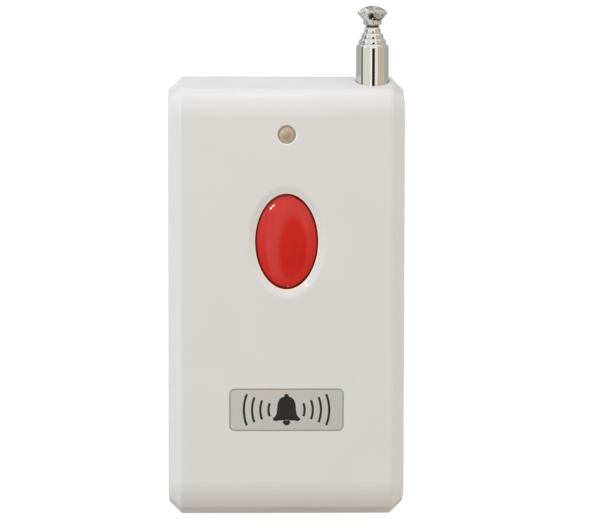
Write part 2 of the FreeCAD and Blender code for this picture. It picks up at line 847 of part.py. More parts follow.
def back_shell():
    """The back half of the case, with its bosses, battery rails and the cover's slot."""
    body = new_body("back_shell")
    rim = size.parting_height - size.seam_gap
    plan = drawing_on(body, "XY_Plane")
    case_plan(plan)
    slab = pad(body, plan, rim)
    rounded(body, slab, lambda edge: at_height(edge, 0), size.back_edge_round)
    inside = drawing_on(body, "XY_Plane", BACK_INSIDE)
    case_plan(inside, size.side_wall)
    pocket(body, inside, size.case_thickness)

    lip = drawing_on(body, "XY_Plane", rim)
    case_plan(lip, size.side_wall - size.lip_thickness + size.lip_clearance)
    case_plan(lip, size.side_wall)
    pad(body, lip, size.lip_height + size.seam_gap)

    shoulders = drawing_on(body, "XY_Plane", size.back_wall / 2)
    for x, y in SCREW_PLACES:
        circle(shoulders, x, y, size.boss_shoulder_diameter)
    circle(shoulders, *BOARD_POST, size.board_post_diameter)
    pad(body, shoulders, size.board_seat - size.back_wall / 2)
    bosses = drawing_on(body, "XY_Plane", size.back_wall)
    for x, y in SCREW_PLACES:
        circle(bosses, x, y, size.boss_diameter)
    pad(body, bosses, size.parting_height - size.back_wall)

    saddle_start = HALF_LENGTH - size.saddle_inset
    saddle = drawing_on(body, "XZ_Plane", saddle_start)
    rectangle(
        saddle,
        ANTENNA_X - TUBE_RADIUS,
        WALL_INSIDE + size.side_wall / 2,
        size.back_wall / 2,
        rim,
    )
    pad(body, saddle, size.saddle_thickness)
    groove = drawing_on(body, "XZ_Plane", saddle_start)
    circle(groove, ANTENNA_X, ANTENNA_Z, size.tube_diameter + 2 * size.antenna_hole_clearance)
    pocket(body, groove, size.saddle_thickness)
    notch = drawing_on(body, "XZ_Plane", HALF_LENGTH + size.edge_round)
    circle(notch, ANTENNA_X, ANTENNA_Z, size.tube_diameter + 2 * size.antenna_hole_clearance)
    pocket(body, notch, size.side_wall + 2 * size.edge_round, forward=False)

    rails = drawing_on(body, "XY_Plane", size.back_wall / 2)
    into_wall = WALL_INSIDE + size.side_wall / 2
    rail_end = size.side_wall / 2 - HALF_LENGTH + size.corner_width
    rectangle(rails, -into_wall, -BAY_HALF, rail_end, COVER_FRONT)
    rectangle(rails, BAY_HALF, into_wall, rail_end, COVER_FRONT)
    pad(body, rails, size.back_wall / 2 + size.rail_height)
    tongue_way = drawing_on(body, "XY_Plane", TONGUE_LOW)
    cover_area(tongue_way, BAY_HALF + size.cover_tongue + size.cover_clearance)
    pocket(body, tongue_way, size.back_wall - TONGUE_LOW)
    cover_way = drawing_on(body, "XY_Plane")
    cover_area(cover_way, BAY_HALF + size.cover_clearance)
    pocket(body, cover_way, size.back_wall)

    recesses = drawing_on(body, "XY_Plane")
    for x, y in SCREW_PLACES:
        circle(recesses, x, y, size.screw_head_diameter + 2 * size.screw_head_clearance)
    pocket(body, recesses, SCREW_SEAT)
    holes = drawing_on(body, "XY_Plane")
    for x, y in SCREW_PLACES:
        circle(holes, x, y, size.screw_diameter + 2 * size.screw_hole_clearance)
    pocket(body, holes, size.case_thickness)
    return body


def cover_area(drawing, half_width):
    """The cover's slot from the back, open at the end of the case."""
    rectangle(
        drawing,
        -half_width,
        half_width,
        -HALF_LENGTH - size.corner_width,
        COVER_FRONT + size.cover_clearance,
    )


def battery_cover():
    """The cover that slides off the back, with a tongue along each side and finger grooves."""
    body = new_body("battery_cover")
    section = drawing_on(body, "XZ_Plane", -HALF_LENGTH)
    tongue = BAY_HALF + size.cover_tongue
    low = TONGUE_LOW + size.cover_clearance
    high = size.back_wall - size.cover_clearance
    outline(
        section,
        [
            (-BAY_HALF, 0),
            (BAY_HALF, 0),
            (BAY_HALF, low),
            (tongue, low),
            (tongue, high),
            (-tongue, high),
            (-tongue, low),
            (-BAY_HALF, low),
        ],
    )
    plate = pad(body, section, COVER_FRONT + HALF_LENGTH)

    def end_edge(edge):
        box = edge.BoundBox
        return at_height(edge, 0) and abs(box.YMax + HALF_LENGTH.value) < NEAR

    rounded(body, plate, end_edge, size.back_edge_round)
    groove = drawing_on(body, "XY_Plane")
    start = size.grip_start - HALF_LENGTH
    rectangle(
        groove, -size.grip_width / 2, size.grip_width / 2, start, start + size.grip_groove_width
    )
    first = pocket(body, groove, size.grip_groove_depth)
    rows(body, first, (groove, ["V_Axis"]), size.grip_pitch, GRIP_GROOVE_COUNT)
    return body


def case_screws():
    """Three self-tapping screws, driven in from the back."""
    screws = []
    for number, (x, y) in enumerate(SCREW_PLACES, start=1):
        body = new_body(f"case_screw_{number}")
        head = size.screw_head_diameter / 2
        shank = size.screw_diameter / 2
        tip = SCREW_SEAT + size.screw_length
        turned(
            body,
            [
                (0, size.screw_sink),
                (head - size.screw_head_bevel, size.screw_sink),
                (head, size.screw_sink + size.screw_head_bevel),
                (head, SCREW_SEAT),
                (shank, SCREW_SEAT),
                (shank, tip - shank),
                (0, tip),
            ],
            plane="XZ_Plane",
        )
        for half_x, half_y in (
            (size.cross_span / 2, size.cross_width / 2),
            (size.cross_width / 2, size.cross_span / 2),
        ):
            arm = drawing_on(body, "XY_Plane", size.screw_sink)
            rectangle(arm, -half_x, half_x, -half_y, half_y)
            pocket(body, arm, size.cross_depth)
        place(body, x, y)
        screws.append(body)
    return group("case_screws", screws)


# Push button and lamp

def button_cap():
    """The oval cap: crowned on top, hollow below, with a flange and a stem on the plunger."""
    sides = new_body("cap_sides")
    foot = drawing_on(sides, "XY_Plane", FLANGE_BOTTOM)
    oval(foot, BUTTON_Y, size.cap_width, size.cap_length)
    top = FACE + size.cap_proud
    pad(sides, foot, top - FLANGE_BOTTOM + size.crown_height)

    spread = 1 + 2 * size.crown_margin / size.cap_width
    depth = size.crown_height / (1 - root(1 - 1 / (spread * spread)))
    crown = DOC.addObject("Part::Ellipsoid", "cap_crown")
    bind(crown, "Radius1", depth)
    bind(crown, "Radius2", spread * size.cap_width / 2)
    bind(crown, "Radius3", spread * size.cap_length / 2)
    place(crown, 0, BUTTON_Y, top - depth)
    below = new_body("cap_below_crown")
    area = drawing_on(below, "XY_Plane", FLANGE_BOTTOM)
    oval(area, BUTTON_Y, 2 * size.cap_width, 2 * size.cap_length)
    pad(below, area, top - depth - FLANGE_BOTTOM)
    envelope = DOC.addObject("Part::Fuse", "cap_envelope")
    envelope.Base = crown
    envelope.Tool = below
    crowned = DOC.addObject("Part::Common", "cap_crowned")
    crowned.Base = sides
    crowned.Tool = envelope

    flange = new_body("cap_flange")
    ring = drawing_on(flange, "XY_Plane", FLANGE_BOTTOM)
    reach = 2 * size.flange_margin
    oval(ring, BUTTON_Y, HOLE_WIDTH + reach, HOLE_LENGTH + reach)
    pad(flange, ring, size.flange_thickness)
    hollow = new_body("cap_hollow")
    space = drawing_on(hollow, "XY_Plane", FLANGE_BOTTOM)
    wall = 2 * size.cap_wall
    oval(space, BUTTON_Y, size.cap_width - wall, size.cap_length - wall)
    roof = top - size.crown_height - size.cap_roof
    pad(hollow, space, roof - FLANGE_BOTTOM + size.crown_height / 2)
    stem = cylinder(
        "cap_stem",
        0,
        BUTTON_Y,
        PLUNGER_TOP,
        size.cap_stem_diameter / 2,
        roof + size.cap_roof - PLUNGER_TOP,
    )
    with_flange = DOC.addObject("Part::Fuse", "cap_with_flange")
    with_flange.Base = crowned
    with_flange.Tool = flange
    hollowed = DOC.addObject("Part::Cut", "cap_hollowed")
    hollowed.Base = with_flange
    hollowed.Tool = hollow
    cap = DOC.addObject("Part::Fuse", "button_cap")
    cap.Label = "button_cap"
    cap.Base = hollowed
    cap.Tool = stem
    return cap


def label_plate():
    """The thin metal plate in its recess."""
    body = new_body("label_plate")
    drawing = drawing_on(body, "XY_Plane", FACE - size.plate_sink - size.plate_thickness)
    plate_outline(drawing)
    pad(body, drawing, size.plate_thickness)
    return body


LAMP_TOP = FACE + size.lamp_proud
LAMP_FOOT = LAMP_TOP - size.lamp_height


def led_lamp():
    """The lamp's lens: a flange, a round barrel and a domed end."""
    body = new_body("led_lamp")
    radius = size.lamp_diameter / 2
    shoulder = LAMP_FOOT + size.lamp_flange_height
    turned(
        body,
        [
            (0, LAMP_FOOT),
            (0, LAMP_TOP),
            Bend(radius, LAMP_TOP - radius, radius),
            (radius, shoulder),
            (size.lamp_flange_diameter / 2, shoulder),
            (size.lamp_flange_diameter / 2, LAMP_FOOT),
        ],
        plane="XZ_Plane",
    )
    place(body, 0, LAMP_Y)
    return body


def led_leads():
    """The lamp's two square wires, through the board."""
    foot = size.board_seat - size.lead_tail
    wires = []
    for name, side in (("left", -1), ("right", 1)):
        low_x = size.lead_spacing / 2 * side - size.lead_width / 2
        low = (low_x, LAMP_Y - size.lead_width / 2, foot)
        lengths = (size.lead_width, size.lead_width, LAMP_FOOT - foot)
        wires.append(block(f"led_lead_{name}", low, lengths))
    return group("led_leads", wires)


# Circuit board and what stands on it

def circuit_board():
    """The board: narrow beside the antenna's tube, wide below its foot."""
    body = new_body("circuit_board")
    left = size.board_side_gap - WALL_INSIDE
    right = WALL_INSIDE - size.board_side_gap
    narrow = ANTENNA_X - TUBE_RADIUS - size.board_tube_gap
    step = PLUG_FOOT - size.bracket_board_gap
    top = HALF_LENGTH - size.side_wall - size.board_top_gap
    plan = drawing_on(body, "XY_Plane", size.board_seat)
    outline(
        plan,
        [
            (left, BOARD_BOTTOM),
            (right, BOARD_BOTTOM),
            (right, step),
            (narrow, step),
            (narrow, top),
            (left, top),
        ],
    )
    pad(body, plan, size.board_thickness)
    holes = drawing_on(body, "XY_Plane", size.board_seat)
    for x, y in SCREW_PLACES:
        circle(holes, x, y, size.boss_diameter + 2 * size.boss_clearance)
    pocket(body, holes, size.board_thickness)
    pins = drawing_on(body, "XY_Plane", size.board_seat)
    lead_hole = size.lead_width * math.sqrt(2) + 2 * size.pin_hole_clearance
    leg_hole = size.leg_width + 2 * size.pin_hole_clearance
    leg_x = (size.switch_width - size.leg_thickness) / 2 + size.leg_reach
    for side in (-1, 1):
        circle(pins, size.lead_spacing / 2 * side, LAMP_Y, lead_hole)
        for end in (-1, 1):
            circle(pins, leg_x * side, BUTTON_Y + size.leg_spacing / 2 * end, leg_hole)
    pocket(body, pins, size.board_thickness)
    return body


def switch_base():
    """The switch's moulded base with a round well, and its four legs."""
    body = new_body("switch_base")
    half = size.switch_width / 2
    plan = drawing_on(body, "XY_Plane", BOARD_TOP)
    rectangle(plan, -half, half, -half, half)
    pad(body, plan, size.switch_base_height)
    well = drawing_on(body, "XY_Plane", BOARD_TOP + size.switch_floor)
    circle(well, 0, 0, size.plunger_collar_diameter + 4 * size.plunger_clearance)
    pocket(body, well, size.switch_base_height)
    legs = drawing_on(body, "XZ_Plane", -size.leg_spacing / 2)
    tip = size.board_seat - size.lead_tail
    outer = half + size.leg_reach
    for side in (-1, 1):
        corners = [
            (half * side, BOARD_TOP + size.leg_rise),
            (outer * side, BOARD_TOP + size.leg_rise),
            (outer * side, tip),
            ((outer - size.leg_thickness) * side, tip),
            ((outer - size.leg_thickness) * side, BOARD_TOP + size.leg_rise - size.leg_thickness),
            (half * side, BOARD_TOP + size.leg_rise - size.leg_thickness),
        ]
        outline(legs, corners)
    pair = pad(body, legs, size.leg_width, both_ways=True)
    rows(body, pair, (plan, ["V_Axis"]), size.leg_spacing, 2)
    place(body, 0, BUTTON_Y)
    return body


def switch_frame():
    """The metal plate that keeps the plunger in."""
    body = new_body("switch_frame")
    half = size.switch_width / 2
    plan = drawing_on(body, "XY_Plane", BOARD_TOP + size.switch_base_height)
    rectangle(plan, -half, half, -half, half)
    circle(plan, 0, 0, size.plunger_diameter + 2 * size.plunger_clearance)
    pad(body, plan, size.switch_frame_thickness)
    place(body, 0, BUTTON_Y)
    return body


def switch_plunger():
    """The round plunger with the collar that the dome carries."""
    body = new_body("switch_plunger")
    collar_foot = BOARD_TOP + size.switch_floor + size.dome_rise + size.dome_gap
    collar_top = BOARD_TOP + size.switch_base_height - size.plunger_gap
    turned(
        body,
        [
            (0, collar_foot),
            (size.plunger_collar_diameter / 2, collar_foot),
            (size.plunger_collar_diameter / 2, collar_top),
            (size.plunger_diameter / 2, collar_top),
            (size.plunger_diameter / 2, PLUNGER_TOP),
            (0, PLUNGER_TOP),
        ],
        plane="XZ_Plane",
    )
    place(body, 0, BUTTON_Y)
    return body


def switch_dome():
    """The thin sprung dome: one ball cut out of another, above the base's floor."""
    floor = BOARD_TOP + size.switch_floor
    half = size.dome_diameter / 2
    radius = (half * half + size.dome_rise * size.dome_rise) / (2 * size.dome_rise)
    balls = []
    for name, amount in (("outer", radius), ("inner", radius - size.dome_thickness)):
        ball = DOC.addObject("Part::Sphere", f"dome_{name}")
        bind(ball, "Radius", amount)
        place(ball, 0, BUTTON_Y, floor + size.dome_rise - radius)
        balls.append(ball)
    shell = DOC.addObject("Part::Cut", "dome_shell")
    shell.Base = balls[0]
    shell.Tool = balls[1]
    space = cylinder(
        "dome_space", 0, BUTTON_Y, floor, size.dome_diameter, size.dome_rise * 2
    )
    dome = DOC.addObject("Part::Common", "switch_dome")
    dome.Label = "switch_dome"
    dome.Base = shell
    dome.Tool = space
    return dome


def encoder_chip():
    """The encoder chip with a row of bent legs along both long sides."""
    body = new_body("encoder_chip")
    half_length = size.chip_length / 2
    half_width = size.chip_width / 2
    low = BOARD_TOP + size.chip_gap
    plan = drawing_on(body, "XY_Plane", low)
    rectangle(plan, -half_length, half_length, -half_width, half_width)
    case = pad(body, plan, size.chip_height)
    legs = drawing_on(body, "YZ_Plane", -(CHIP_LEG_COUNT - 1) * size.chip_leg_pitch / 2)
    knee = half_width + size.chip_leg_reach - size.chip_leg_foot
    toe = half_width + size.chip_leg_reach
    high = BOARD_TOP + size.chip_leg_height
    for side in (-1, 1):
        corners = [
            (half_width * side, high),
            (knee * side, high),
            (knee * side, BOARD_TOP + size.chip_leg_thickness),
            (toe * side, BOARD_TOP + size.chip_leg_thickness),
            (toe * side, BOARD_TOP),
            ((knee - size.chip_leg_thickness) * side, BOARD_TOP),
            ((knee - size.chip_leg_thickness) * side, high - size.chip_leg_thickness),
            (half_width * side, high - size.chip_leg_thickness),
        ]
        outline(legs, corners)
    pair = pad(body, legs, size.chip_leg_width, both_ways=True)
    rows(body, pair, (plan, ["H_Axis"]), size.chip_leg_pitch, CHIP_LEG_COUNT)
    place(body, size.chip_x, BOARD_BOTTOM + size.chip_rise)
    return body


def resonator_can():
    """The resonator's round metal can on its rim."""
    body = new_body("resonator_can")
    rim = size.can_rim_diameter / 2
    wall = size.can_diameter / 2
    top = BOARD_TOP + size.can_height
    turned(
        body,
        [
            (0, BOARD_TOP),
            (rim, BOARD_TOP),
            (rim, BOARD_TOP + size.can_rim_thickness),
            (wall, BOARD_TOP + size.can_rim_thickness),
            (wall, top - size.can_round),
            (wall - size.can_round, top),
            (0, top),
        ],
        plane="XZ_Plane",
    )
    place(body, size.can_side_gap - WALL_INSIDE, BUTTON_Y - size.can_shift)
    return body


def radio_transistor():
    """The transistor: a round body with one flat side, on three legs."""
    body = new_body("radio_transistor")
    radius = size.transistor_diameter / 2
    foot = BOARD_TOP + size.transistor_leg_height
    plan = drawing_on(body, "XY_Plane", foot)
    circle(plan, 0, 0, size.transistor_diameter)
    pad(body, plan, size.transistor_height)
    flat = drawing_on(body, "XY_Plane", foot)
    rectangle(flat, -radius * 2, radius * 2, -radius * 2, -size.transistor_flat)
    pocket(body, flat, size.transistor_height)
    leg = drawing_on(body, "XY_Plane", BOARD_TOP)
    half = size.transistor_leg_width / 2
    left = -size.transistor_leg_spacing
    rectangle(leg, left - half, left + half, -half, half)
    first = pad(body, leg, size.transistor_leg_height)
    rows(body, first, (plan, ["H_Axis"]), size.transistor_leg_spacing, 3)
    place(body, size.transistor_side_gap - WALL_INSIDE, BUTTON_Y + size.transistor_shift)
    return body


def antenna_coil():
    """The air coil, lying along Y on the board."""
    wound = coil("antenna_coil", size.coil_diameter, size.coil_wire, size.coil_pitch, COIL_TURNS)
    rest_height = BOARD_TOP + (size.coil_diameter + size.coil_wire) / 2 + size.coil_gap
    wound.Placement.Rotation = FreeCAD.Rotation(FreeCAD.Vector(1, 0, 0), -90)
    place(wound, ANTENNA_X - size.coil_shift, TUBE_FOOT + size.coil_start, rest_height)
    return wound


def supply_capacitor():
    """The standing capacitor in its round can."""
    body = new_body("supply_capacitor")
    radius = size.capacitor_diameter / 2
    bead = size.capacitor_bead
    top = BOARD_TOP + size.capacitor_height
    turned(
        body,
        [
            (0, BOARD_TOP),
            (radius, BOARD_TOP),
            (radius, BOARD_TOP + bead * 3),
            (radius - bead, BOARD_TOP + bead * 4),
            (radius, BOARD_TOP + bead * 5),
            (radius, top - bead),
            (radius - bead, top),
            (0, top),
        ],
        plane="XZ_Plane",
    )
    place(body, ANTENNA_X - size.capacitor_shift, BOARD_BOTTOM + size.capacitor_rise)
    return body


def small_parts(name, count, x, y, height, along_x):
    """A row of small square parts flat on the board."""
    parts = []
    for number in range(count):
        offset = size.small_part_pitch * number
        low = (x + offset, y, BOARD_TOP) if along_x else (x, y + offset, BOARD_TOP)
        lengths = (size.small_part_length, size.small_part_width, height)
        parts.append(block(f"{name}_{number + 1}", low, lengths))
    return group(name, parts)


# Battery

def battery():
    """The round 12 V cell lying across the case, its nub to the right."""
    body = new_body("battery")
    edge = size.battery_edge_round
    left = size.contact_thickness + size.spring_length - BAY_HALF
    right = left + size.battery_length
    nub = size.battery_nub_diameter / 2
    turned(
        body,
        [
            (left, 0),
            (left, BATTERY_RADIUS - edge),
            Bend(left + edge, BATTERY_RADIUS, edge),
            (right - edge, BATTERY_RADIUS),
            Bend(right, BATTERY_RADIUS - edge, edge),
            (right, nub),
            (right + size.battery_nub_length, nub),
            (right + size.battery_nub_length, 0),
        ],
        axis="H_Axis",
    )
    place(body, 0, BATTERY_Y, BATTERY_Z)
    return body


def contact(name, side):
    """A contact plate against a rail, with a tail that lies on the board."""
    body = new_body(name)
    near = BATTERY_Y - size.contact_width / 2
    far = BATTERY_Y + size.contact_width / 2
    low = BATTERY_Z - size.contact_width / 2
    high = BATTERY_Z + size.contact_width / 2
    tail = BOARD_BOTTOM + size.contact_tail_seat
    drawing = drawing_on(body, "YZ_Plane")
    outline(
        drawing,
        [
            (near, low),
            (far, low),
            (far, BOARD_TOP),
            (tail, BOARD_TOP),
            (tail, BOARD_TOP + size.contact_tail_width),
            (far, BOARD_TOP + size.contact_tail_width),
            (far, high),
            (near, high),
        ],
    )
    pad(body, drawing, size.contact_thickness)
    place(body, BAY_HALF - size.contact_thickness if side > 0 else -BAY_HALF)
    return body


def battery_spring():
    """The coil spring between the left contact and the battery."""
    run = size.spring_length - size.spring_wire - 2 * size.spring_gap
    pitch = run / SPRING_TURNS
    wound = coil("battery_spring", size.spring_diameter, size.spring_wire, pitch, SPRING_TURNS)
    start = size.contact_thickness - BAY_HALF + size.spring_wire / 2 + size.spring_gap
    wound.Placement.Rotation = FreeCAD.Rotation(FreeCAD.Vector(0, 1, 0), 90)
    place(wound, start, BATTERY_Y, BATTERY_Z)
    return wound


# Antenna

def section_radius(number):
    """The outer radius of an antenna section; the fixed tube is number 0."""
    return TUBE_RADIUS - number * size.diameter_loss / 2


def mouth(number):
    """Where an antenna section's mouth ends along Y."""
    return MOUTH_Y + number * size.mouth_stagger


def antenna_tube(number):
    """One tube of the antenna, turned in at its mouth so that it guides the next section."""
    body = new_body(f"antenna_tube_{number + 1}")
    foot = TUBE_FOOT if number == 0 else SECTION_FOOT
    outer = section_radius(number)
    inner = outer - size.tube_wall
    throat = section_radius(number + 1) + size.slide_clearance
    end = mouth(number)
    bend = end - size.mouth_length
    drop = outer - throat - size.mouth_lip
    shoulder = (drop * drop + size.mouth_length * size.mouth_length) / (2 * drop)
    turned(
        body,
        [
            (inner, foot),
            (inner, bend),
            (throat, end - size.mouth_length / 2),
            (throat, end),
            (throat + size.mouth_lip, end),
            Bend(outer, bend, shoulder),
            (outer, foot),
        ],
    )
    place(body, ANTENNA_X, 0, ANTENNA_Z)
    return body


def antenna_sleeve(number):
    """The thin brass sleeve on a section's foot, which runs in the tube around it."""
    body = new_body(f"antenna_sleeve_{number + 1}")
    inner = section_radius(number)
    outer = section_radius(number - 1) - size.tube_wall - size.slide_clearance
    top = SECTION_FOOT + size.sleeve_length
    turned(
        body,
        [(inner, SECTION_FOOT), (outer, SECTION_FOOT), (outer, top), (inner, top)],
    )
    place(body, ANTENNA_X, 0, ANTENNA_Z)
    return body


ROD_NUMBER = SLIDING_TUBE_COUNT + 1
KNOB_FOOT = mouth(SLIDING_TUBE_COUNT) + size.knob_gap


def antenna_rod():
    """The innermost rod, which ends in the knob."""
    body = new_body("antenna_rod")
    radius = section_radius(ROD_NUMBER)
    top = KNOB_FOOT + size.knob_bore_depth
    turned(body, [(0, SECTION_FOOT), (radius, SECTION_FOOT), (radius, top), (0, top)])
    place(body, ANTENNA_X, 0, ANTENNA_Z)
    return body


def antenna_knob():
    """The turned knob: a collar, a cone that opens out, and a domed top."""
    body = new_body("antenna_knob")
    bore = section_radius(ROD_NUMBER) + size.knob_bore_clearance
    bore_top = KNOB_FOOT + size.knob_bore_depth
    collar = size.knob_collar_diameter / 2
    wide = size.knob_diameter / 2
    collar_top = KNOB_FOOT + size.knob_collar_length
    cone_top = collar_top + size.knob_cone_length
    rim = cone_top + size.knob_rim_length
    top = rim + size.knob_crown
    crown_radius = (wide * wide + size.knob_crown * size.knob_crown) / (2 * size.knob_crown)
    turned(
        body,
        [
            (bore, KNOB_FOOT),
            (bore, bore_top),
            (0, bore_top),
            (0, top),
            Bend(wide, rim, crown_radius),
            (wide - size.knob_rim_bevel, cone_top),
            (collar, collar_top),
            (collar, KNOB_FOOT + size.knob_bevel_length),
            (size.knob_foot_diameter / 2, KNOB_FOOT),
        ],
    )
    place(body, ANTENNA_X, 0, ANTENNA_Z)
    return body


def antenna_plug():
    """The plug in the fixed tube's foot, with a blind hole for its screw."""
    body = new_body("antenna_plug")
    neck = TUBE_RADIUS - size.tube_wall - size.plug_clearance
    bore = size.foot_screw_diameter / 2 + size.foot_screw_clearance
    top = TUBE_FOOT + size.plug_depth
    bore_top = BRACKET_BACK + size.foot_screw_length + size.foot_screw_clearance
    turned(
        body,
        [
            (bore, PLUG_FOOT),
            (TUBE_RADIUS, PLUG_FOOT),
            (TUBE_RADIUS, TUBE_FOOT),
            (neck, TUBE_FOOT),
            (neck, top),
            (0, top),
            (0, bore_top),
            (bore, bore_top),
        ],
    )
    place(body, ANTENNA_X, 0, ANTENNA_Z)
    return body


def antenna_bracket():
    """The bent strip that stands on the board and holds the antenna's foot."""
    body = new_body("antenna_bracket")
    top = ANTENNA_Z + size.bracket_rise
    drawing = drawing_on(body, "YZ_Plane")
    outline(
        drawing,
        [
            (PLUG_FOOT, BOARD_TOP),
            (PLUG_FOOT, top),
            (BRACKET_BACK, top),
            (BRACKET_BACK, BOARD_TOP + size.bracket_thickness),
            (BRACKET_BACK - size.bracket_base_length, BOARD_TOP + size.bracket_thickness),
            (BRACKET_BACK - size.bracket_base_length, BOARD_TOP),
        ],
    )
    pad(body, drawing, size.bracket_width, both_ways=True)
    hole = drawing_on(body, "XZ_Plane", PLUG_FOOT)
    circle(hole, 0, ANTENNA_Z, size.foot_screw_diameter + 2 * size.foot_screw_clearance)
    pocket(body, hole, size.bracket_thickness, forward=False)
    place(body, ANTENNA_X)
    return body


def antenna_screw():
    """The screw through the bracket into the plug."""
    body = new_body("antenna_screw")
    head = size.foot_screw_head_diameter / 2
    shank = size.foot_screw_diameter / 2
    outside = BRACKET_BACK - size.foot_screw_head_height
    tip = BRACKET_BACK + size.foot_screw_length
    turned(
        body,
        [
            (0, outside),
            (head, outside),
            (head, BRACKET_BACK),
            (shank, BRACKET_BACK),
            (shank, tip),
            (0, tip),
        ],
    )
    slot = drawing_on(body, "XZ_Plane", outside)
    rectangle(slot, -head * 2, head * 2, -size.cross_width / 2, size.cross_width / 2)
    pocket(body, slot, size.foot_screw_head_height / 2)
    place(body, ANTENNA_X, 0, ANTENNA_Z)
    return body


# Building, checking and writing

def build():
    """Makes every piece and gives them in a list."""
    pieces = [
        front_shell(front_cavity()),
        back_shell(),
        battery_cover(),
        case_screws(),
        button_cap(),
        label_plate(),
        led_lamp(),
        led_leads(),
        circuit_board(),
        switch_base(),
        switch_frame(),
        switch_plunger(),
        switch_dome(),
        encoder_chip(),
        resonator_can(),
        radio_transistor(),
        antenna_coil(),
        supply_capacitor(),
        small_parts(
            "chip_capacitors",
            SMALL_CAPACITOR_COUNT,
            size.small_capacitor_side_gap - WALL_INSIDE,
            BUTTON_Y + size.small_capacitor_shift,
            size.small_capacitor_height,
            along_x=True,
        ),
        small_parts(
            "chip_resistors",
            SMALL_RESISTOR_COUNT,
            ANTENNA_X - size.small_resistor_shift,
            LAMP_Y - size.small_resistor_start,
            size.small_resistor_height,
            along_x=False,
        ),
        battery(),
        contact("positive_contact", 1),
        contact("negative_contact", -1),
        battery_spring(),
        antenna_rod(),
        antenna_knob(),
        antenna_plug(),
        antenna_bracket(),
        antenna_screw(),
    ]
    for number in range(SLIDING_TUBE_COUNT + 1):
        pieces.append(antenna_tube(number))
        pieces.append(antenna_sleeve(number + 1))
    DOC.recompute()
    return pieces


def check_features():
    """Stops if a feature failed, or if one changed nothing or did the reverse of its kind."""
    for item in DOC.Objects:
        if "Invalid" in item.State or "Error" in item.State:
            raise RuntimeError(f"{item.Name} failed: {item.State}")
        if not item.isDerivedFrom("PartDesign::Feature"):
            continue
        before = item.BaseFeature.Shape.Volume if item.BaseFeature else 0
        grown = item.Shape.Volume - before
        cuts = item.TypeId.endswith(("Pocket", "Loft", "Boolean"))
        adds = item.TypeId.endswith(("Pad", "Revolution"))
        if abs(grown) < NEAR or (cuts and grown > 0) or (adds and grown < 0):
            raise RuntimeError(f"{item.Name} changes the solid by {grown:.4f}")


def write(pieces):
    """Writes one STEP file for each piece."""
    os.makedirs("parts", exist_ok=True)
    for piece in pieces:
        shape = piece.Shape
        if shape.isNull() or not shape.isValid() or not shape.Solids:
            raise RuntimeError(f"{piece.Label} is not a valid solid")
    for piece in pieces:
        piece.Shape.exportStep(f"parts/{piece.Label}.step")


PIECES = build()
check_features()
write(PIECES)
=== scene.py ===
"""Dresses the wireless panic button: finishes for its solids, and the small pieces that go on them."""

import math

import bmesh
import bpy
from bpy.props import FloatProperty, FloatVectorProperty, IntProperty, PointerProperty
from mathutils import Matrix, Vector


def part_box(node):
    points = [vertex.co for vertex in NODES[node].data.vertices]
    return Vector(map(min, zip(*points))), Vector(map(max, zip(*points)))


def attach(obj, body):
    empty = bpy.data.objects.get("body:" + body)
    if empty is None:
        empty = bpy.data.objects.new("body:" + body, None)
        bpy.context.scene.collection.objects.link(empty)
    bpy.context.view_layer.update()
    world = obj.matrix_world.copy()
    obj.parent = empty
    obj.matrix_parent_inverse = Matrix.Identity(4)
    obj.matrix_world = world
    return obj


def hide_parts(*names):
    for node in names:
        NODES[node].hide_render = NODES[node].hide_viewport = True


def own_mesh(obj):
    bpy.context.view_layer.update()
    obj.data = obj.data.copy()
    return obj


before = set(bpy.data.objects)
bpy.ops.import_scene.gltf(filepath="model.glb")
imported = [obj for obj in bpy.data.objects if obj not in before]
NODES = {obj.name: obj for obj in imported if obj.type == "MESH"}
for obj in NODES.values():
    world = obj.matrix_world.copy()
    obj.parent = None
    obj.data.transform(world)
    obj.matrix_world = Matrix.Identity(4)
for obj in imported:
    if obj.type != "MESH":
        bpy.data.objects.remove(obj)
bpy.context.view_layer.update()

bl_info = {
    "name": "Wireless Panic Button",
    "version": (1, 0, 0),
    "blender": (4, 5, 0),
    "location": "View3D > Sidebar > Panic Button",
    "description": "Finishes and small pieces for the wireless panic button",
    "category": "Add Mesh",
}

MM = 0.001
MICRON = 0.000001

WHITE = (1, 1, 1)
# Nearly all of a noise texture's values lie between these two.
NOISE_LOW, NOISE_HIGH = 0.3, 0.7
# Edges that turn by more than this, in radians, stay crisp: on the turned pieces and on solder.
CRISP_TURNED, CRISP_SOLDER = 0.6, 0.9
# Points nearer to each other than this are one point.
SAME_POINT = 1e-7


def middle(node):
    """The middle of a CAD node's box."""
    low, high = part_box(node)
    return (low + high) / 2


def srgb(*screen):
    """A screen colour from 0 to 255, as the linear colour that a shader takes."""
    shares = [value / 255 for value in screen]
    return tuple(
        share / 12.92 if share <= 0.04045 else ((share + 0.055) / 1.055) ** 2.4 for share in shares
    )


def colour_setting(name, description, *screen):
    return FloatVectorProperty(
        name=name, description=description, default=srgb(*screen), size=3, min=0, max=1, subtype="COLOR"
    )


def length_setting(name, description, millimetres):
    return FloatProperty(
        name=name, description=description, default=millimetres * MM, unit="LENGTH", precision=5
    )


def angle_setting(name, description, degrees):
    return FloatProperty(
        name=name, description=description, default=math.radians(degrees), subtype="ANGLE"
    )


# ---- settings


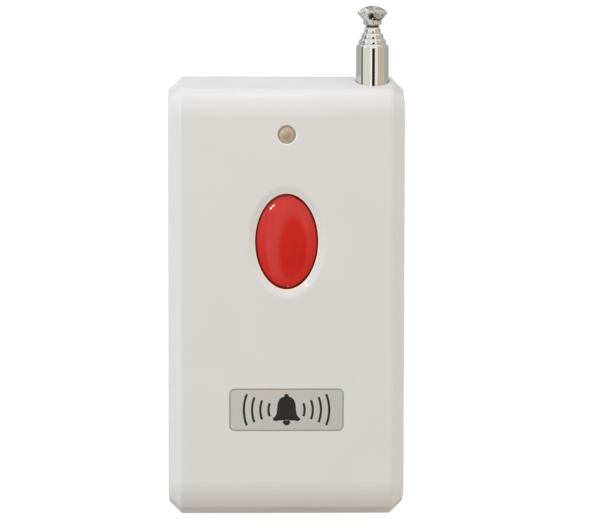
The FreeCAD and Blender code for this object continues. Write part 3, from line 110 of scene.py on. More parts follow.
class PanicButtonCaseSettings(bpy.types.PropertyGroup):
    """The moulded case."""

    colour: colour_setting("Plastic", "Colour of the case's plastic", 216, 213, 211)
    # Painted highlight: the cream ring on the rounded rim of the button's hole, where it catches the light.
    lip: colour_setting("Lips", "Colour of the thin edge round the button", 250, 224, 205)
    # Painted highlight on the rounded rim of the lamp's hole.
    lamp_lip: colour_setting("Lamp's lip", "Colour of the thin edge round the lamp", 240, 229, 216)
    # Painted red reflection and shade on the wall of the button's hole, in the gap round the button.
    wall: colour_setting("Hole wall", "Colour in the button's hole, where the red shines on it", 196, 12, 10)
    grain: length_setting("Grain", "Size of the fine moulded grain", 0.22)
    hole_width: length_setting("Hole width", "Width of the button's hole", 11.4)
    hole_length: length_setting("Hole length", "Length of the button's hole", 17.3)
    lamp_hole: length_setting("Lamp hole", "Width of the lamp's hole", 3.32)
    patch: length_setting("Patch", "Size of the patches where handling changes the gloss", 9.0)


class PanicButtonCapSettings(bpy.types.PropertyGroup):
    """The red push button."""

    colour: colour_setting("Red", "Colour of the button's plastic", 205, 38, 27)
    depth_colour: colour_setting("Deep red", "Colour in its darker flow marks", 198, 31, 22)
    # Painted shade where the button's edge turns down towards the dark gap.
    rim_colour: colour_setting("Rim", "Colour where the button's edge turns down", 116, 4, 4)
    width: length_setting("Width", "Width of the button", 11.1)
    length: length_setting("Length", "Length of the button", 17.0)
    flow: length_setting("Flow marks", "Width of the faint marks left by the moulding", 1.6)


class PanicButtonPlateSettings(bpy.types.PropertyGroup):
    """The brushed plate and the bell sign printed on it."""

    colour: colour_setting("Metal", "Colour of the plate's metal", 238, 235, 232)
    ink: colour_setting("Ink", "Colour of the printed sign", 22, 20, 20)
    border: colour_setting("Border", "Colour of the printed line round the plate", 158, 155, 150)
    ink_thickness: length_setting("Ink thickness", "How far the print stands on the plate", 0.015)
    bell_height: length_setting("Bell height", "Height of the bell sign", 5.7)
    border_width: length_setting("Border width", "Width of the printed line", 0.15)
    border_corner: length_setting("Border corner", "Radius of the printed line's corners", 0.85)
    arc_count: IntProperty(name="Arcs", description="Sound arcs on each side", default=4, min=1)
    arc_first: length_setting("First arc", "Radius of the smallest arc", 3.3)
    arc_step: length_setting("Arc step", "Distance from one arc to the next", 1.5)
    arc_width: length_setting("Arc line", "Width of the arcs' line", 0.42)
    arc_sweep: angle_setting("Arc sweep", "Angle that each arc spans", 43)


class PanicButtonLampSettings(bpy.types.PropertyGroup):
    """The indicator lamp."""

    lens: colour_setting("Lens", "Colour of the unlit lens", 180, 163, 140)
    edge: colour_setting("Lens edge", "Colour near the lens's edge", 234, 216, 194)
    # Painted light: the lens is painted paler towards its edge.
    blush: colour_setting("Blush", "Second tint of the lens", 188, 160, 144)
    seat: colour_setting("Seat", "Colour of the ring that fills the gap round the lens", 190, 172, 155)
    seat_outer: length_setting("Seat's outside", "Outer radius of that ring", 1.64)
    lens_radius: length_setting("Lens radius", "Radius of the lens's dome", 1.55)
    metal: colour_setting("Lead frame", "Colour of the tinned lead frame", 190, 186, 178)
    cup_radius: length_setting("Cup radius", "Radius of the reflector cup", 0.62)
    cup_height: length_setting("Cup height", "Height of the reflector cup", 0.6)
    core_rise: length_setting("Core height", "Height of the cup's rim over the lens's foot", 3.1)


class PanicButtonAntennaSettings(bpy.types.PropertyGroup):
    """The telescopic antenna."""

    chrome: colour_setting("Chrome", "Colour of the plated tubes", 231, 228, 224)
    knob: colour_setting("Knob", "Colour of the plated knob", 232, 230, 226)
    # The knob's dark spots are painted dark reflections: their size and their colour.
    spot: length_setting("Spots", "Size of the dark marks on the knob", 0.9)
    spot_colour: colour_setting("Spot colour", "Colour of the dark marks on the knob", 52, 51, 50)
    brass: colour_setting("Brass", "Colour of the brass sleeves and the foot", 205, 170, 104)
    patch: length_setting("Mottling", "Size of the plating's faint patches", 1.1)
    washer_radius: length_setting("Washer", "Radius of the black washer under the knob", 1.22)


class PanicButtonScrewSettings(bpy.types.PropertyGroup):
    """The case screws' threads."""

    steel: colour_setting("Steel", "Colour of the screws", 176, 175, 172)
    pitch: length_setting("Pitch", "Distance from one turn of the thread to the next", 0.9)
    turns: IntProperty(name="Turns", description="Turns of thread on each screw", default=7, min=1)
    shank: length_setting("Shank", "Radius that the thread stands on", 1.0)
    ridge: length_setting("Ridge", "Radius of the thread's section", 0.2)


class PanicButtonBoardSettings(bpy.types.PropertyGroup):
    """The circuit board and its joints."""

    resist: colour_setting("Board", "Colour of the board's coating", 38, 92, 58)
    track: colour_setting("Tracks", "Colour of the coating over copper", 62, 128, 78)
    solder: colour_setting("Solder", "Colour of the solder", 196, 197, 199)
    joint_radius: length_setting("Joint radius", "Radius of a solder joint's foot", 0.75)
    joint_height: length_setting("Joint height", "Height of a solder joint", 0.8)


class PanicButtonSwitchSettings(bpy.types.PropertyGroup):
    """The push switch."""

    dome_sheet: length_setting("Dome sheet", "Thickness of the sprung dome", 0.1)


class PanicButtonBatterySettings(bpy.types.PropertyGroup):
    """The battery and what holds it."""

    jacket: colour_setting("Jacket", "Colour of the battery's jacket", 44, 46, 52)
    band: colour_setting("Band", "Colour of the band at the battery's positive end", 196, 140, 62)
    steel: colour_setting("Contacts", "Colour of the nickel-plated contacts", 205, 201, 192)


class PanicButtonStageSettings(bpy.types.PropertyGroup):
    """The floor, the lights and the camera."""

    sky: FloatProperty(name="Sky", description="Strength of the light from all round", default=0.562)
    distance: length_setting("Camera distance", "From the object to the camera", 570)
    lens: FloatProperty(name="Lens", description="Focal length of the camera in millimetres", default=184.93)
    raised: angle_setting("Raised", "Tilt of the view towards the antenna's end", 4.4)
    turned: angle_setting("Turned", "Turn of the view to the left", 1.358)
    rolled: angle_setting("Rolled", "Roll of the camera", 0.086)


# ---- node helpers


def fill(tree, sockets, values):
    """Sets inputs as values, or as links from other nodes."""
    for name, value in values.items():
        if isinstance(value, bpy.types.NodeSocket):
            tree.links.new(value, sockets[name])
        else:
            sockets[name].default_value = value


def node(tree, kind, inputs=None, **settings):
    """Adds a node, with its settings and its inputs."""
    made = tree.nodes.new(kind)
    for name, value in settings.items():
        setattr(made, name, value)
    fill(tree, made.inputs, inputs or {})
    return made


def result(tree, kind, inputs=None, **settings):
    """Adds a node and returns its first output."""
    return node(tree, kind, inputs, **settings).outputs[0]


def calc(tree, operation, first, second):
    return result(tree, "ShaderNodeMath", {0: first, 1: second}, operation=operation)


def vector_calc(tree, operation, first, second):
    return result(tree, "ShaderNodeVectorMath", {0: first, 1: second}, operation=operation)


def along(tree, place, axis):
    """How far a place is along X, Y or Z."""
    return node(tree, "ShaderNodeSeparateXYZ", {0: place}).outputs[axis]


def opaque(colour):
    """A colour as an input takes it. A link from another node stays as it is."""
    return colour if isinstance(colour, bpy.types.NodeSocket) else (*colour, 1.0)


def blend(tree, share, first, second, **settings):
    """A colour that goes from the first to the second as share goes from 0 to 1."""
    inputs = {0: share, 6: opaque(first), 7: opaque(second)}
    return node(tree, "ShaderNodeMix", inputs, data_type="RGBA", **settings).outputs[2]


def spread(tree, value, start, end, low=0.0, high=1.0, soft=False):
    """A value that goes from low to high while another one goes from start to end."""
    inputs = {"Value": value, "From Min": start, "From Max": end, "To Min": low, "To Max": high}
    kind = "SMOOTHSTEP" if soft else "LINEAR"
    return result(tree, "ShaderNodeMapRange", inputs, interpolation_type=kind)


def mapped(tree, value, low, high):
    """Noise spread over low to high."""
    return spread(tree, value, NOISE_LOW, NOISE_HIGH, low, high)


def noise(tree, place, length, detail=2.0, roughness=0.5):
    """Noise whose features are about as large as length, a value or a socket."""
    inputs = {
        "Vector": place, "Scale": calc(tree, "DIVIDE", 1.0, length), "Detail": detail, "Roughness": roughness,
    }
    return result(tree, "ShaderNodeTexNoise", inputs)


def socket_type(given):
    """The type of a group's socket, from the end of the type's name or from a default value."""
    if isinstance(given, str):
        ending = given
    elif isinstance(given, tuple):
        ending = "Vector" if len(given) == 3 else "Color"
    else:
        ending = type(given).__name__.capitalize()
    return f"NodeSocket{ending}"


def new_group(name, outputs, kind="ShaderNodeTree", **inputs):
    """An empty node group, with its inputs and outputs. Each input is given as its type or its default."""
    tree = bpy.data.node_groups.new(name, kind)
    for label, given in inputs.items():
        socket = tree.interface.new_socket(name=label, in_out="INPUT", socket_type=socket_type(given))
        if not isinstance(given, str):
            socket.default_value = given
    for label, given in outputs.items():
        tree.interface.new_socket(name=label, in_out="OUTPUT", socket_type=socket_type(given))
    return tree, tree.nodes.new("NodeGroupInput").outputs, tree.nodes.new("NodeGroupOutput").inputs


# ---- shared effects


def colour_drift_group():
    """A colour that grows slightly lighter and darker in soft patches."""
    tree, given, out = new_group(
        "Colour Drift", {"Colour": "Color"}, Place="Vector", Colour="Color", Patch=0.01, Amount=0.02
    )
    low = calc(tree, "SUBTRACT", 1.0, given["Amount"])
    high = calc(tree, "ADD", 1.0, given["Amount"])
    value = mapped(tree, noise(tree, given["Place"], given["Patch"], 3.0), low, high)
    shifted = result(tree, "ShaderNodeHueSaturation", {"Color": given["Colour"], "Value": value})
    tree.links.new(shifted, out["Colour"])
    return tree


def handling_group():
    """Roughness that differs where hands have polished a surface."""
    tree, given, out = new_group(
        "Handling", {"Roughness": "Float"}, Place="Vector", Patch=0.01, Polished=0.3, Dull=0.4
    )
    patches = noise(tree, given["Place"], given["Patch"], 4.0, 0.6)
    tree.links.new(mapped(tree, patches, given["Polished"], given["Dull"]), out["Roughness"])
    return tree


def mould_grain_group():
    """The fine grain that an etched mould leaves, as a height."""
    tree, given, out = new_group("Mould Grain", {"Height": "Float"}, Place="Vector", Grain=0.0002)
    tree.links.new(noise(tree, given["Place"], given["Grain"], 2.0, 0.6), out["Height"])
    return tree


def drawn_lines_group():
    """Fine lines left by brushing, drawing or turning metal. The stretch says along which way."""
    tree, given, out = new_group(
        "Drawn Lines", {"Height": "Float", "Roughness": "Float"},
        Place="Vector", Stretch="Vector", Line=0.0001, Polished=0.2, Dull=0.3,
    )
    squeezed = vector_calc(tree, "MULTIPLY", given["Place"], given["Stretch"])
    lines = noise(tree, squeezed, given["Line"], 3.0, 0.7)
    gloss = mapped(tree, lines, given["Polished"], given["Dull"])
    fill(tree, out, {"Height": lines, "Roughness": gloss})
    return tree


def tint_group():
    """Metal whose colour drifts between two near tints, as plating and brushed plate do."""
    tree, given, out = new_group(
        "Metal Tint", {"Colour": "Color"}, Place="Vector", Colour="Color", Patch=0.002,
        Cool=(0.94, 1.0, 1.0, 1.0), Warm=(1.0, 0.96, 0.93, 1.0),
    )
    patches = mapped(tree, noise(tree, given["Place"], given["Patch"]), 0.0, 1.0)
    tint = blend(tree, patches, given["Cool"], given["Warm"])
    tree.links.new(blend(tree, 1.0, given["Colour"], tint, blend_type="MULTIPLY"), out["Colour"])
    return tree


def band_group():
    """A mask that is 1 between two places along one direction, with a soft edge."""
    tree, given, out = new_group("Band", {"Mask": "Float"}, Along=0.0, From=0.0, To=1.0, Edge=0.0001)

    def step(place, low, high):
        beyond = calc(tree, "ADD", given[place], given["Edge"])
        return spread(tree, given["Along"], given[place], beyond, low, high, soft=True)

    both = calc(tree, "MULTIPLY", step("From", 0.0, 1.0), step("To", 1.0, 0.0))
    tree.links.new(both, out["Mask"])
    return tree


def oval_group():
    """How far a place is from a middle, as a share of an oval's reach."""
    tree, given, out = new_group(
        "Oval", {"Radius": "Float"}, Place="Vector", Middle="Vector", Reach=(1.0, 1.0, 1.0)
    )
    offset = vector_calc(tree, "SUBTRACT", given["Place"], given["Middle"])
    share = vector_calc(tree, "DIVIDE", offset, given["Reach"])
    radius = node(tree, "ShaderNodeVectorMath", {0: share}, operation="LENGTH").outputs["Value"]
    tree.links.new(radius, out["Radius"])
    return tree


EFFECTS = {}


def build_effects():
    """Builds each shared effect once."""
    for make in (
        colour_drift_group, handling_group, mould_grain_group, drawn_lines_group, tint_group, band_group,
        oval_group,
    ):
        tree = make()
        EFFECTS[tree.name] = tree


def effect(tree, name, **values):
    """Places a shared effect in a material, with its own values."""
    return node(tree, "ShaderNodeGroup", values, node_tree=EFFECTS[name]).outputs


def band(tree, place, start, end, edge):
    """The Band effect in a material, along one direction or from a middle outwards."""
    return effect(tree, "Band", Along=place, From=start, To=end, Edge=edge)["Mask"]


def oval_radius(tree, place, centre, reach):
    """The Oval effect in a material, about a point in the plane of the case's face. Height doesn't count."""
    middle_point, far = (centre[0], centre[1], 0.0), 1000.0
    return effect(tree, "Oval", Place=place, Middle=middle_point, Reach=(reach[0], reach[1], far))["Radius"]


# ---- materials


def emptied(owner):
    """The node tree of a material or of a world, with nothing in it."""
    owner.use_nodes = True
    owner.node_tree.nodes.clear()
    return owner.node_tree


def show(tree, shader, end="ShaderNodeOutputMaterial"):
    """Joins a shader to its tree's output."""
    node(tree, end, {"Surface": shader.outputs[0]})


def object_place(tree):
    return node(tree, "ShaderNodeTexCoord").outputs["Object"]


def new_material(name, **constants):
    """A material with its Principled shader, whose fixed numbers are set on its own sockets."""
    material = bpy.data.materials.new(name)
    tree = emptied(material)
    values = {label.replace("_", " "): value for label, value in constants.items()}
    shader = node(tree, "ShaderNodeBsdfPrincipled", values)
    show(tree, shader)
    return material, tree, shader, object_place(tree)


def bumped(tree, shader, height, depth):
    """Lets a height, depth metres from low to high, turn the shader's normal."""
    bump = node(tree, "ShaderNodeBump", {"Height": height, "Distance": depth, "Strength": 1.0})
    tree.links.new(bump.outputs["Normal"], shader.inputs["Normal"])


# Each plastic's colour patches and how far they drift, its gloss patches with their polished and their dull
# roughness, and its grain with the grain's depth. Sizes are in millimetres, and the depth is in microns.
PLASTICS = {
    "button_plastic": (3, 0.03, 4, 0.03, 0.07, 2, 4),
    "lamp_lens": (0.9, 0.1, 1, 0.05, 0.09, 0.9, 6),
    "board_laminate": (4, 0.05, 4, 0.3, 0.42, 0.5, 6),
    "battery_jacket": (3, 0.03, 3, 0.22, 0.34, 1, 10),
    "plate_ink": (8, 0.012, 8, 0.35, 0.5, 0.1, 1),
    "plate_line": (8, 0.012, 8, 0.4, 0.5, 0.1, 1),
    "lamp_seat_resin": (8, 0.012, 8, 0.3, 0.45, 0.2, 2),
    "groove_shade_black": (8, 0.012, 8, 0.5, 0.65, 0.1, 2),
    "switch_plastic": (8, 0.012, 8, 0.35, 0.5, 0.12, 2),
    "chip_plastic": (8, 0.012, 8, 0.45, 0.6, 0.1, 3),
    "capacitor_can": (8, 0.012, 8, 0.25, 0.4, 0.2, 2),
    "capacitor_ceramic": (8, 0.05, 8, 0.3, 0.45, 0.08, 2),
    "resistor_ceramic": (8, 0.05, 8, 0.3, 0.45, 0.08, 2),
}

# Each metal's lines: how they are stretched along X, Y and Z, their size in millimetres, their depth in
# microns, and the polished and the dull roughness.
METALS = {
    "plate_metal": ((0.03, 1.0, 1.0), 0.09, 1.2, 0.34, 0.5),
    "lead_metal": ((1.0, 1.0, 0.1), 0.15, 2, 0.22, 0.36),
    "antenna_chrome": ((1.0, 0.02, 1.0), 0.4, 1.2, 0.03, 0.07),
    "knob_chrome": ((1.0, 1.0, 1.0), 1.2, 220, 0.04, 0.1),
    "sleeve_brass": ((1.0, 0.1, 1.0), 0.3, 2, 0.22, 0.34),
    "screw_steel": ((1.0, 1.0, 0.3), 0.2, 2, 0.25, 0.4),
    "solder": ((1.0, 1.0, 1.0), 0.6, 10, 0.18, 0.34),
    "switch_metal": ((0.1, 1.0, 1.0), 0.2, 1, 0.2, 0.32),
    "can_metal": ((1.0, 1.0, 0.1), 0.3, 1, 0.16, 0.28),
    "coil_copper": ((1.0, 1.0, 1.0), 0.4, 2, 0.18, 0.3),
    "contact_metal": ((1.0, 1.0, 0.1), 0.3, 1, 0.18, 0.3),
}


def mould_finish(tree, shader, place, colour, drift, gloss, grain):
    """The finish of moulded plastic: drifting colour, handled gloss and a fine grain.

    drift is a patch's size and amount, gloss is a patch's size and its two roughnesses, and grain is the
    grain's size and depth.
    """
    shade = effect(
        tree, "Colour Drift", Place=place, Colour=opaque(colour), Patch=drift[0], Amount=drift[1]
    )
    worn = effect(tree, "Handling", Place=place, Patch=gloss[0], Polished=gloss[1], Dull=gloss[2])
    height = effect(tree, "Mould Grain", Place=place, Grain=grain[0])
    fill(tree, shader.inputs, {"Base Color": shade["Colour"], "Roughness": worn["Roughness"]})
    bumped(tree, shader, height["Height"], grain[1])


def plastic_finish(tree, shader, place, colour, name):
    """Gives a plastic its colour, with the numbers that PLASTICS holds for it."""
    patch, drift, worn, polished, dull, grain, depth = PLASTICS[name]
    mould_finish(
        tree, shader, place, colour, (patch * MM, drift), (worn * MM, polished, dull),
        (grain * MM, depth * MICRON),
    )


def moulded(name, colour, **constants):
    """Plain moulded plastic or ceramic."""
    material, tree, shader, place = new_material(name, **constants)
    plastic_finish(tree, shader, place, colour, name)
    return material


def metal_finish(tree, shader, place, colour, name):
    """Gives a metal its colour, and the lines whose numbers METALS holds for it."""
    stretch, line, depth, polished, dull = METALS[name]
    lines = effect(
        tree, "Drawn Lines", Place=place, Stretch=stretch, Line=line * MM, Polished=polished, Dull=dull
    )
    fill(tree, shader.inputs, {"Base Color": colour, "Roughness": lines["Roughness"]})
    bumped(tree, shader, lines["Height"], depth * MICRON)


def metal_tint(tree, place, colour, patch):
    return effect(tree, "Metal Tint", Place=place, Colour=opaque(colour), Patch=patch)["Colour"]


def metal(name, colour, patch=2 * MM):
    """Metal with drawn, turned or brushed lines and a slight drift of tint."""
    material, tree, shader, place = new_material(name, Metallic=1.0)
    metal_finish(tree, shader, place, metal_tint(tree, place, colour, patch), name)
    return material


def finish_nodes(material, *names):
    """Gives CAD nodes a material in their material slots."""
    for name in names:
        slots = NODES[name].data.materials
        slots.clear()
        slots.append(material)


# ---- mesh helpers


def in_scene(name, data):
    """An object in the scene that shows a mesh, a curve, a light or a camera."""
    thing = bpy.data.objects.new(name, data)
    bpy.context.scene.collection.objects.link(thing)
    return thing


def add_piece(name, mesh, material, body):
    """Puts a finished mesh, already in place, on a CAD body."""
    mesh.name = name
    mesh.materials.clear()
    mesh.materials.append(material)
    piece = in_scene(name, mesh)
    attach(piece, body)
    return piece


def evaluated_mesh(thing):
    """The plain mesh that an object's modifiers or its curve give. The object itself is removed."""
    bpy.context.view_layer.update()
    shown = thing.evaluated_get(bpy.context.evaluated_depsgraph_get())
    mesh = bpy.data.meshes.new_from_object(shown)
    bpy.data.objects.remove(thing)
    return mesh


def smoothed(mesh, angle):
    """Smooth shading, with edges sharper than angle kept crisp."""
    mesh.polygons.foreach_set("use_smooth", [True] * len(mesh.polygons))
    mesh.set_sharp_from_angle(angle=angle)
    return mesh


def inked_shape(outlines, thickness):
    """A flat filled shape from closed outlines of (x, y) points, each with whether it is smooth."""
    curve = bpy.data.curves.new("ink", "CURVE")
    curve.dimensions = "2D"
    curve.fill_mode = "BOTH"
    curve.extrude = thickness / 2
    for points, smooth in outlines:
        spline = curve.splines.new("BEZIER")
        spline.bezier_points.add(len(points) - 1)
        spline.use_cyclic_u = True
        spline.resolution_u = 8 if smooth else 1
        for bezier, (x, y) in zip(spline.bezier_points, points):
            bezier.co = (x, y, 0)
            bezier.handle_left_type = bezier.handle_right_type = "AUTO" if smooth else "VECTOR"
    mesh = evaluated_mesh(in_scene("ink", curve))
    bpy.data.curves.remove(curve)
    return mesh


def rounded_rectangle(width, height, corner, parts=8):
    """Points round a rectangle with round corners, for straight outlines."""
    points = []
    for quarter, (right, up) in enumerate(((1, 1), (-1, 1), (-1, -1), (1, -1))):
        for part in range(parts + 1):
            angle = math.radians(90 * quarter + 90 * part / parts)
            x = right * (width / 2 - corner) + corner * math.cos(angle)
            y = up * (height / 2 - corner) + corner * math.sin(angle)
            points.append((x, y))
    return points


def lathe(profile, stand, segments=32):
    """A smooth closed mesh, turned about Z and then put in its place by the matrix stand.

    The profile's points are (radius, height), and they end on the axis or where they began.
    """
    work = bmesh.new()
    turns = [math.tau * step / segments for step in range(segments)]
    rings = [
        [
            work.verts.new((radius * math.cos(turn), radius * math.sin(turn), height))
            for turn in (turns if radius else turns[:1])
        ]
        for radius, height in profile
    ]
    for lower, upper in zip(rings, rings[1:]):
        for step in range(segments):
            after = (step + 1) % segments
            if len(lower) == 1:
                corners = lower[0], upper[after], upper[step]
            elif len(upper) == 1:
                corners = lower[step], lower[after], upper[0]
            else:
                corners = lower[step], lower[after], upper[after], upper[step]
            work.faces.new(corners)
    bmesh.ops.remove_doubles(work, verts=work.verts, dist=SAME_POINT)
    bmesh.ops.recalc_face_normals(work, faces=work.faces)
    mesh = bpy.data.meshes.new("turned")
    work.to_mesh(mesh)
    work.free()
    mesh.transform(stand)
    return smoothed(mesh, CRISP_TURNED)


def grown(tree, points, **values):
    """Runs a Geometry Nodes tree on loose points and returns the plain mesh that it makes."""
    mesh = bpy.data.meshes.new(tree.name)
    mesh.from_pydata(points, [], [])
    thing = in_scene(tree.name, mesh)
    modifier = thing.modifiers.new(tree.name, "NODES")
    modifier.node_group = tree
    for item in tree.interface.items_tree:
        if item.item_type == "SOCKET" and item.in_out == "INPUT" and item.name in values:
            modifier[item.identifier] = values.pop(item.name)
    if values:
        raise ValueError(f"{tree.name} has no input named {sorted(values)}")
    return evaluated_mesh(thing)


# ---- geometry node trees


def geometry_group(name, **inputs):
    """An empty Geometry Nodes tree that takes loose points."""
    return new_group(name, {"Geometry": "Geometry"}, "GeometryNodeTree", Points="Geometry", **inputs)


def swept(tree, curve, section, **more):
    """The closed mesh that a section leaves along a curve."""
    inputs = {"Curve": curve, "Profile Curve": section, "Fill Caps": True, **more}
    return result(tree, "GeometryNodeCurveToMesh", inputs)


def finished_tree(tree, given, shape, material, out):
    """Puts a shape on every point, and ends the tree in Realize Instances and Set Material."""
    placed = result(tree, "GeometryNodeInstanceOnPoints", {"Points": given["Points"], "Instance": shape})
    real = result(tree, "GeometryNodeRealizeInstances", {"Geometry": placed})
    painted = result(tree, "GeometryNodeSetMaterial", {"Geometry": real, "Material": material})
    tree.links.new(painted, out["Geometry"])
    return tree


def sound_arcs_tree(material):
    """Arcs that grow outwards on both sides of each point, all with the same line width."""
    tree, given, out = geometry_group(
        "Sound Arcs", Count=3, First=0.003, Step=0.001, Sweep=1.0, Width=0.0004, Thickness=0.00001
    )
    start = calc(tree, "MULTIPLY", given["Sweep"], -0.5)
    arc = result(
        tree, "GeometryNodeCurveArc",
        {"Resolution": 25, "Radius": 1.0, "Start Angle": start, "Sweep Angle": given["Sweep"]},
    )
    both = calc(tree, "MULTIPLY", given["Count"], 2)
    line = result(tree, "GeometryNodeMeshLine", {"Count": both, "Offset": (0, 0, 0)})
    index = result(tree, "GeometryNodeInputIndex")
    side = calc(tree, "GREATER_THAN", index, calc(tree, "SUBTRACT", given["Count"], 0.5))
    number = calc(tree, "SUBTRACT", index, calc(tree, "MULTIPLY", side, given["Count"]))
    radius = calc(tree, "ADD", given["First"], calc(tree, "MULTIPLY", number, given["Step"]))
    turn = result(tree, "ShaderNodeCombineXYZ", {"Z": calc(tree, "MULTIPLY", side, math.pi)})
    arcs = result(
        tree, "GeometryNodeInstanceOnPoints",
        {"Points": line, "Instance": arc, "Rotation": turn, "Scale": radius},
    )
    real = result(tree, "GeometryNodeRealizeInstances", {"Geometry": arcs})
    section = result(
        tree, "GeometryNodeCurvePrimitiveQuadrilateral",
        {"Width": given["Width"], "Height": given["Thickness"]},
    )
    return finished_tree(tree, given, swept(tree, real, section), material, out)


def thread_tree(material):
    """A helical ridge that climbs from each point, as a screw's thread does."""
    tree, given, out = geometry_group("Screw Thread", Pitch=0.0009, Turns=6, Shank=0.001, Ridge=0.0002)
    helix = result(
        tree, "GeometryNodeCurveSpiral",
        {
            "Resolution": 28, "Rotations": given["Turns"], "Start Radius": given["Shank"],
            "End Radius": given["Shank"], "Height": calc(tree, "MULTIPLY", given["Pitch"], given["Turns"]),
        },
    )
    section = result(tree, "GeometryNodeCurvePrimitiveCircle", {"Resolution": 4, "Radius": given["Ridge"]})
    return finished_tree(tree, given, swept(tree, helix, section), material, out)


def solder_tree(material):
    """A hollow-sided cone of solder that hangs from each point."""
    tree, given, out = geometry_group("Solder Joints", Radius=0.0007, Height=0.0008)
    tip = result(tree, "ShaderNodeCombineXYZ", {"Z": calc(tree, "MULTIPLY", given["Height"], -1.0)})
    core = result(tree, "GeometryNodeCurvePrimitiveLine", {"End": tip})
    cut = result(tree, "GeometryNodeResampleCurve", {"Curve": core, "Count": 7})
    left = calc(tree, "SUBTRACT", 1.0, result(tree, "GeometryNodeSplineParameter"))
    share = spread(tree, calc(tree, "POWER", left, 2.2), 0.0, 1.0, 0.3, 1.0)
    radius = calc(tree, "MULTIPLY", share, given["Radius"])
    section = result(tree, "GeometryNodeCurvePrimitiveCircle", {"Resolution": 14, "Radius": 1.0})
    return finished_tree(tree, given, swept(tree, cut, section, Scale=radius), material, out)


# ---- the pieces


# Soft bands of the case's colour, each with its start, end and edge. The first is up from the back face, and
# the rest are shares of the way from a hole's middle to its wall: painted highlights on the rims of the two
# holes, and painted red reflection and shade inside the button's hole.
FACE_BAND = (14.5 * MM, 17 * MM, 0.1 * MM)
RIM_HIGHLIGHT_BAND, LAMP_RIM_HIGHLIGHT_BAND, HOLE_BAND = (1.01, 1.034, 0.008), (1.02, 1.1, 0.05), (-0.5, 1.006, 0.008)
# How far the case's colour drifts, its polished and dull roughness, and its grain's depth.
CASE_DRIFT, CASE_GLOSS, CASE_DEPTH = 0.008, (0.42, 0.5), 2.5 * MICRON
# The size of the patches that shine, and the least and the most shine.
SHINE_PATCH, SHINE = 7 * MM, (0.1, 0.5)


class PANICBUTTON_OT_case(bpy.types.Operator):
    """Finish the two case halves and the battery cover"""

    bl_idname = "panic_button.case"
    bl_label = "Case"

    def execute(self, context):
        settings = context.scene.panic_button_case
        material, tree, shader, place = new_material("case_plastic", Coat_Roughness=0.12)
        hole = (settings.hole_width / 2, settings.hole_length / 2)
        from_button = oval_radius(tree, place, middle("button_cap"), hole)
        from_lamp = oval_radius(tree, place, middle("led_lamp"), (settings.lamp_hole / 2,) * 2)
        near_face = band(tree, along(tree, place, "Z"), *FACE_BAND)
        lip = band(tree, from_button, *RIM_HIGHLIGHT_BAND)
        lamp_lip = band(tree, from_lamp, *LAMP_RIM_HIGHLIGHT_BAND)
        inside = band(tree, from_button, *HOLE_BAND)
        # Painted light in the case's colour: highlights on the rims of the two holes, and red reflection and
        # shade in the button's hole.
        colour = settings.colour
        for mask, other in ((lip, settings.lip), (lamp_lip, settings.lamp_lip), (inside, settings.wall)):
            colour = blend(tree, calc(tree, "MULTIPLY", mask, near_face), colour, other)
        mould_finish(
            tree, shader, place, colour, (settings.patch, CASE_DRIFT), (settings.patch, *CASE_GLOSS),
            (settings.grain, CASE_DEPTH),
        )
        shine = mapped(tree, noise(tree, place, SHINE_PATCH, 1.0), *SHINE)
        outside = calc(tree, "SUBTRACT", 1.0, inside)
        tree.links.new(calc(tree, "MULTIPLY", shine, outside), shader.inputs["Coat Weight"])
        finish_nodes(material, "front_shell", "back_shell", "battery_cover")
        return {"FINISHED"}


# How the flow marks are stretched, and where the button's edge darkens with painted shade, as shares of the
# way to its edge.
FLOW_STRETCH, RIM_SHADE_BAND = (1.0, 0.28, 1.0), (0.955, 2.0, 0.025)


class PANICBUTTON_OT_push_button(bpy.types.Operator):
    """Finish the red push button"""

    bl_idname = "panic_button.push_button"
    bl_label = "Push Button"

    def execute(self, context):
        settings = context.scene.panic_button_cap
        material, tree, shader, place = new_material(
            "button_plastic", IOR=1.45, Subsurface_Weight=0.12, Subsurface_Radius=(1.0, 0.12, 0.08),
            Subsurface_Scale=1.2 * MM,
        )
        drawn_out = vector_calc(tree, "MULTIPLY", place, FLOW_STRETCH)
        flow = mapped(tree, noise(tree, drawn_out, settings.flow, 3.0), 0.0, 1.0)
        red = blend(tree, flow, settings.colour, settings.depth_colour)
        outward = oval_radius(tree, place, middle("button_cap"), (settings.width / 2, settings.length / 2))
        # Painted shade on the rim of the button.
        rim_shaded = blend(tree, band(tree, outward, *RIM_SHADE_BAND), red, settings.rim_colour)
        plastic_finish(tree, shader, place, rim_shaded, "button_plastic")
        finish_nodes(material, "button_cap")
        return {"FINISHED"}


# Right-hand points of the bell and of its clapper, as shares of the bell's height.
BELL_SIDE = [
    (0.045, 0.5), (0.075, 0.44), (0.2, 0.365), (0.272, 0.235), (0.3, 0.06), (0.318, -0.1),
    (0.36, -0.21), (0.435, -0.285), (0.43, -0.335), (0.2, -0.345),
]
CLAPPER_SIDE = [(0.115, -0.39), (0.085, -0.465), (0.03, -0.5)]


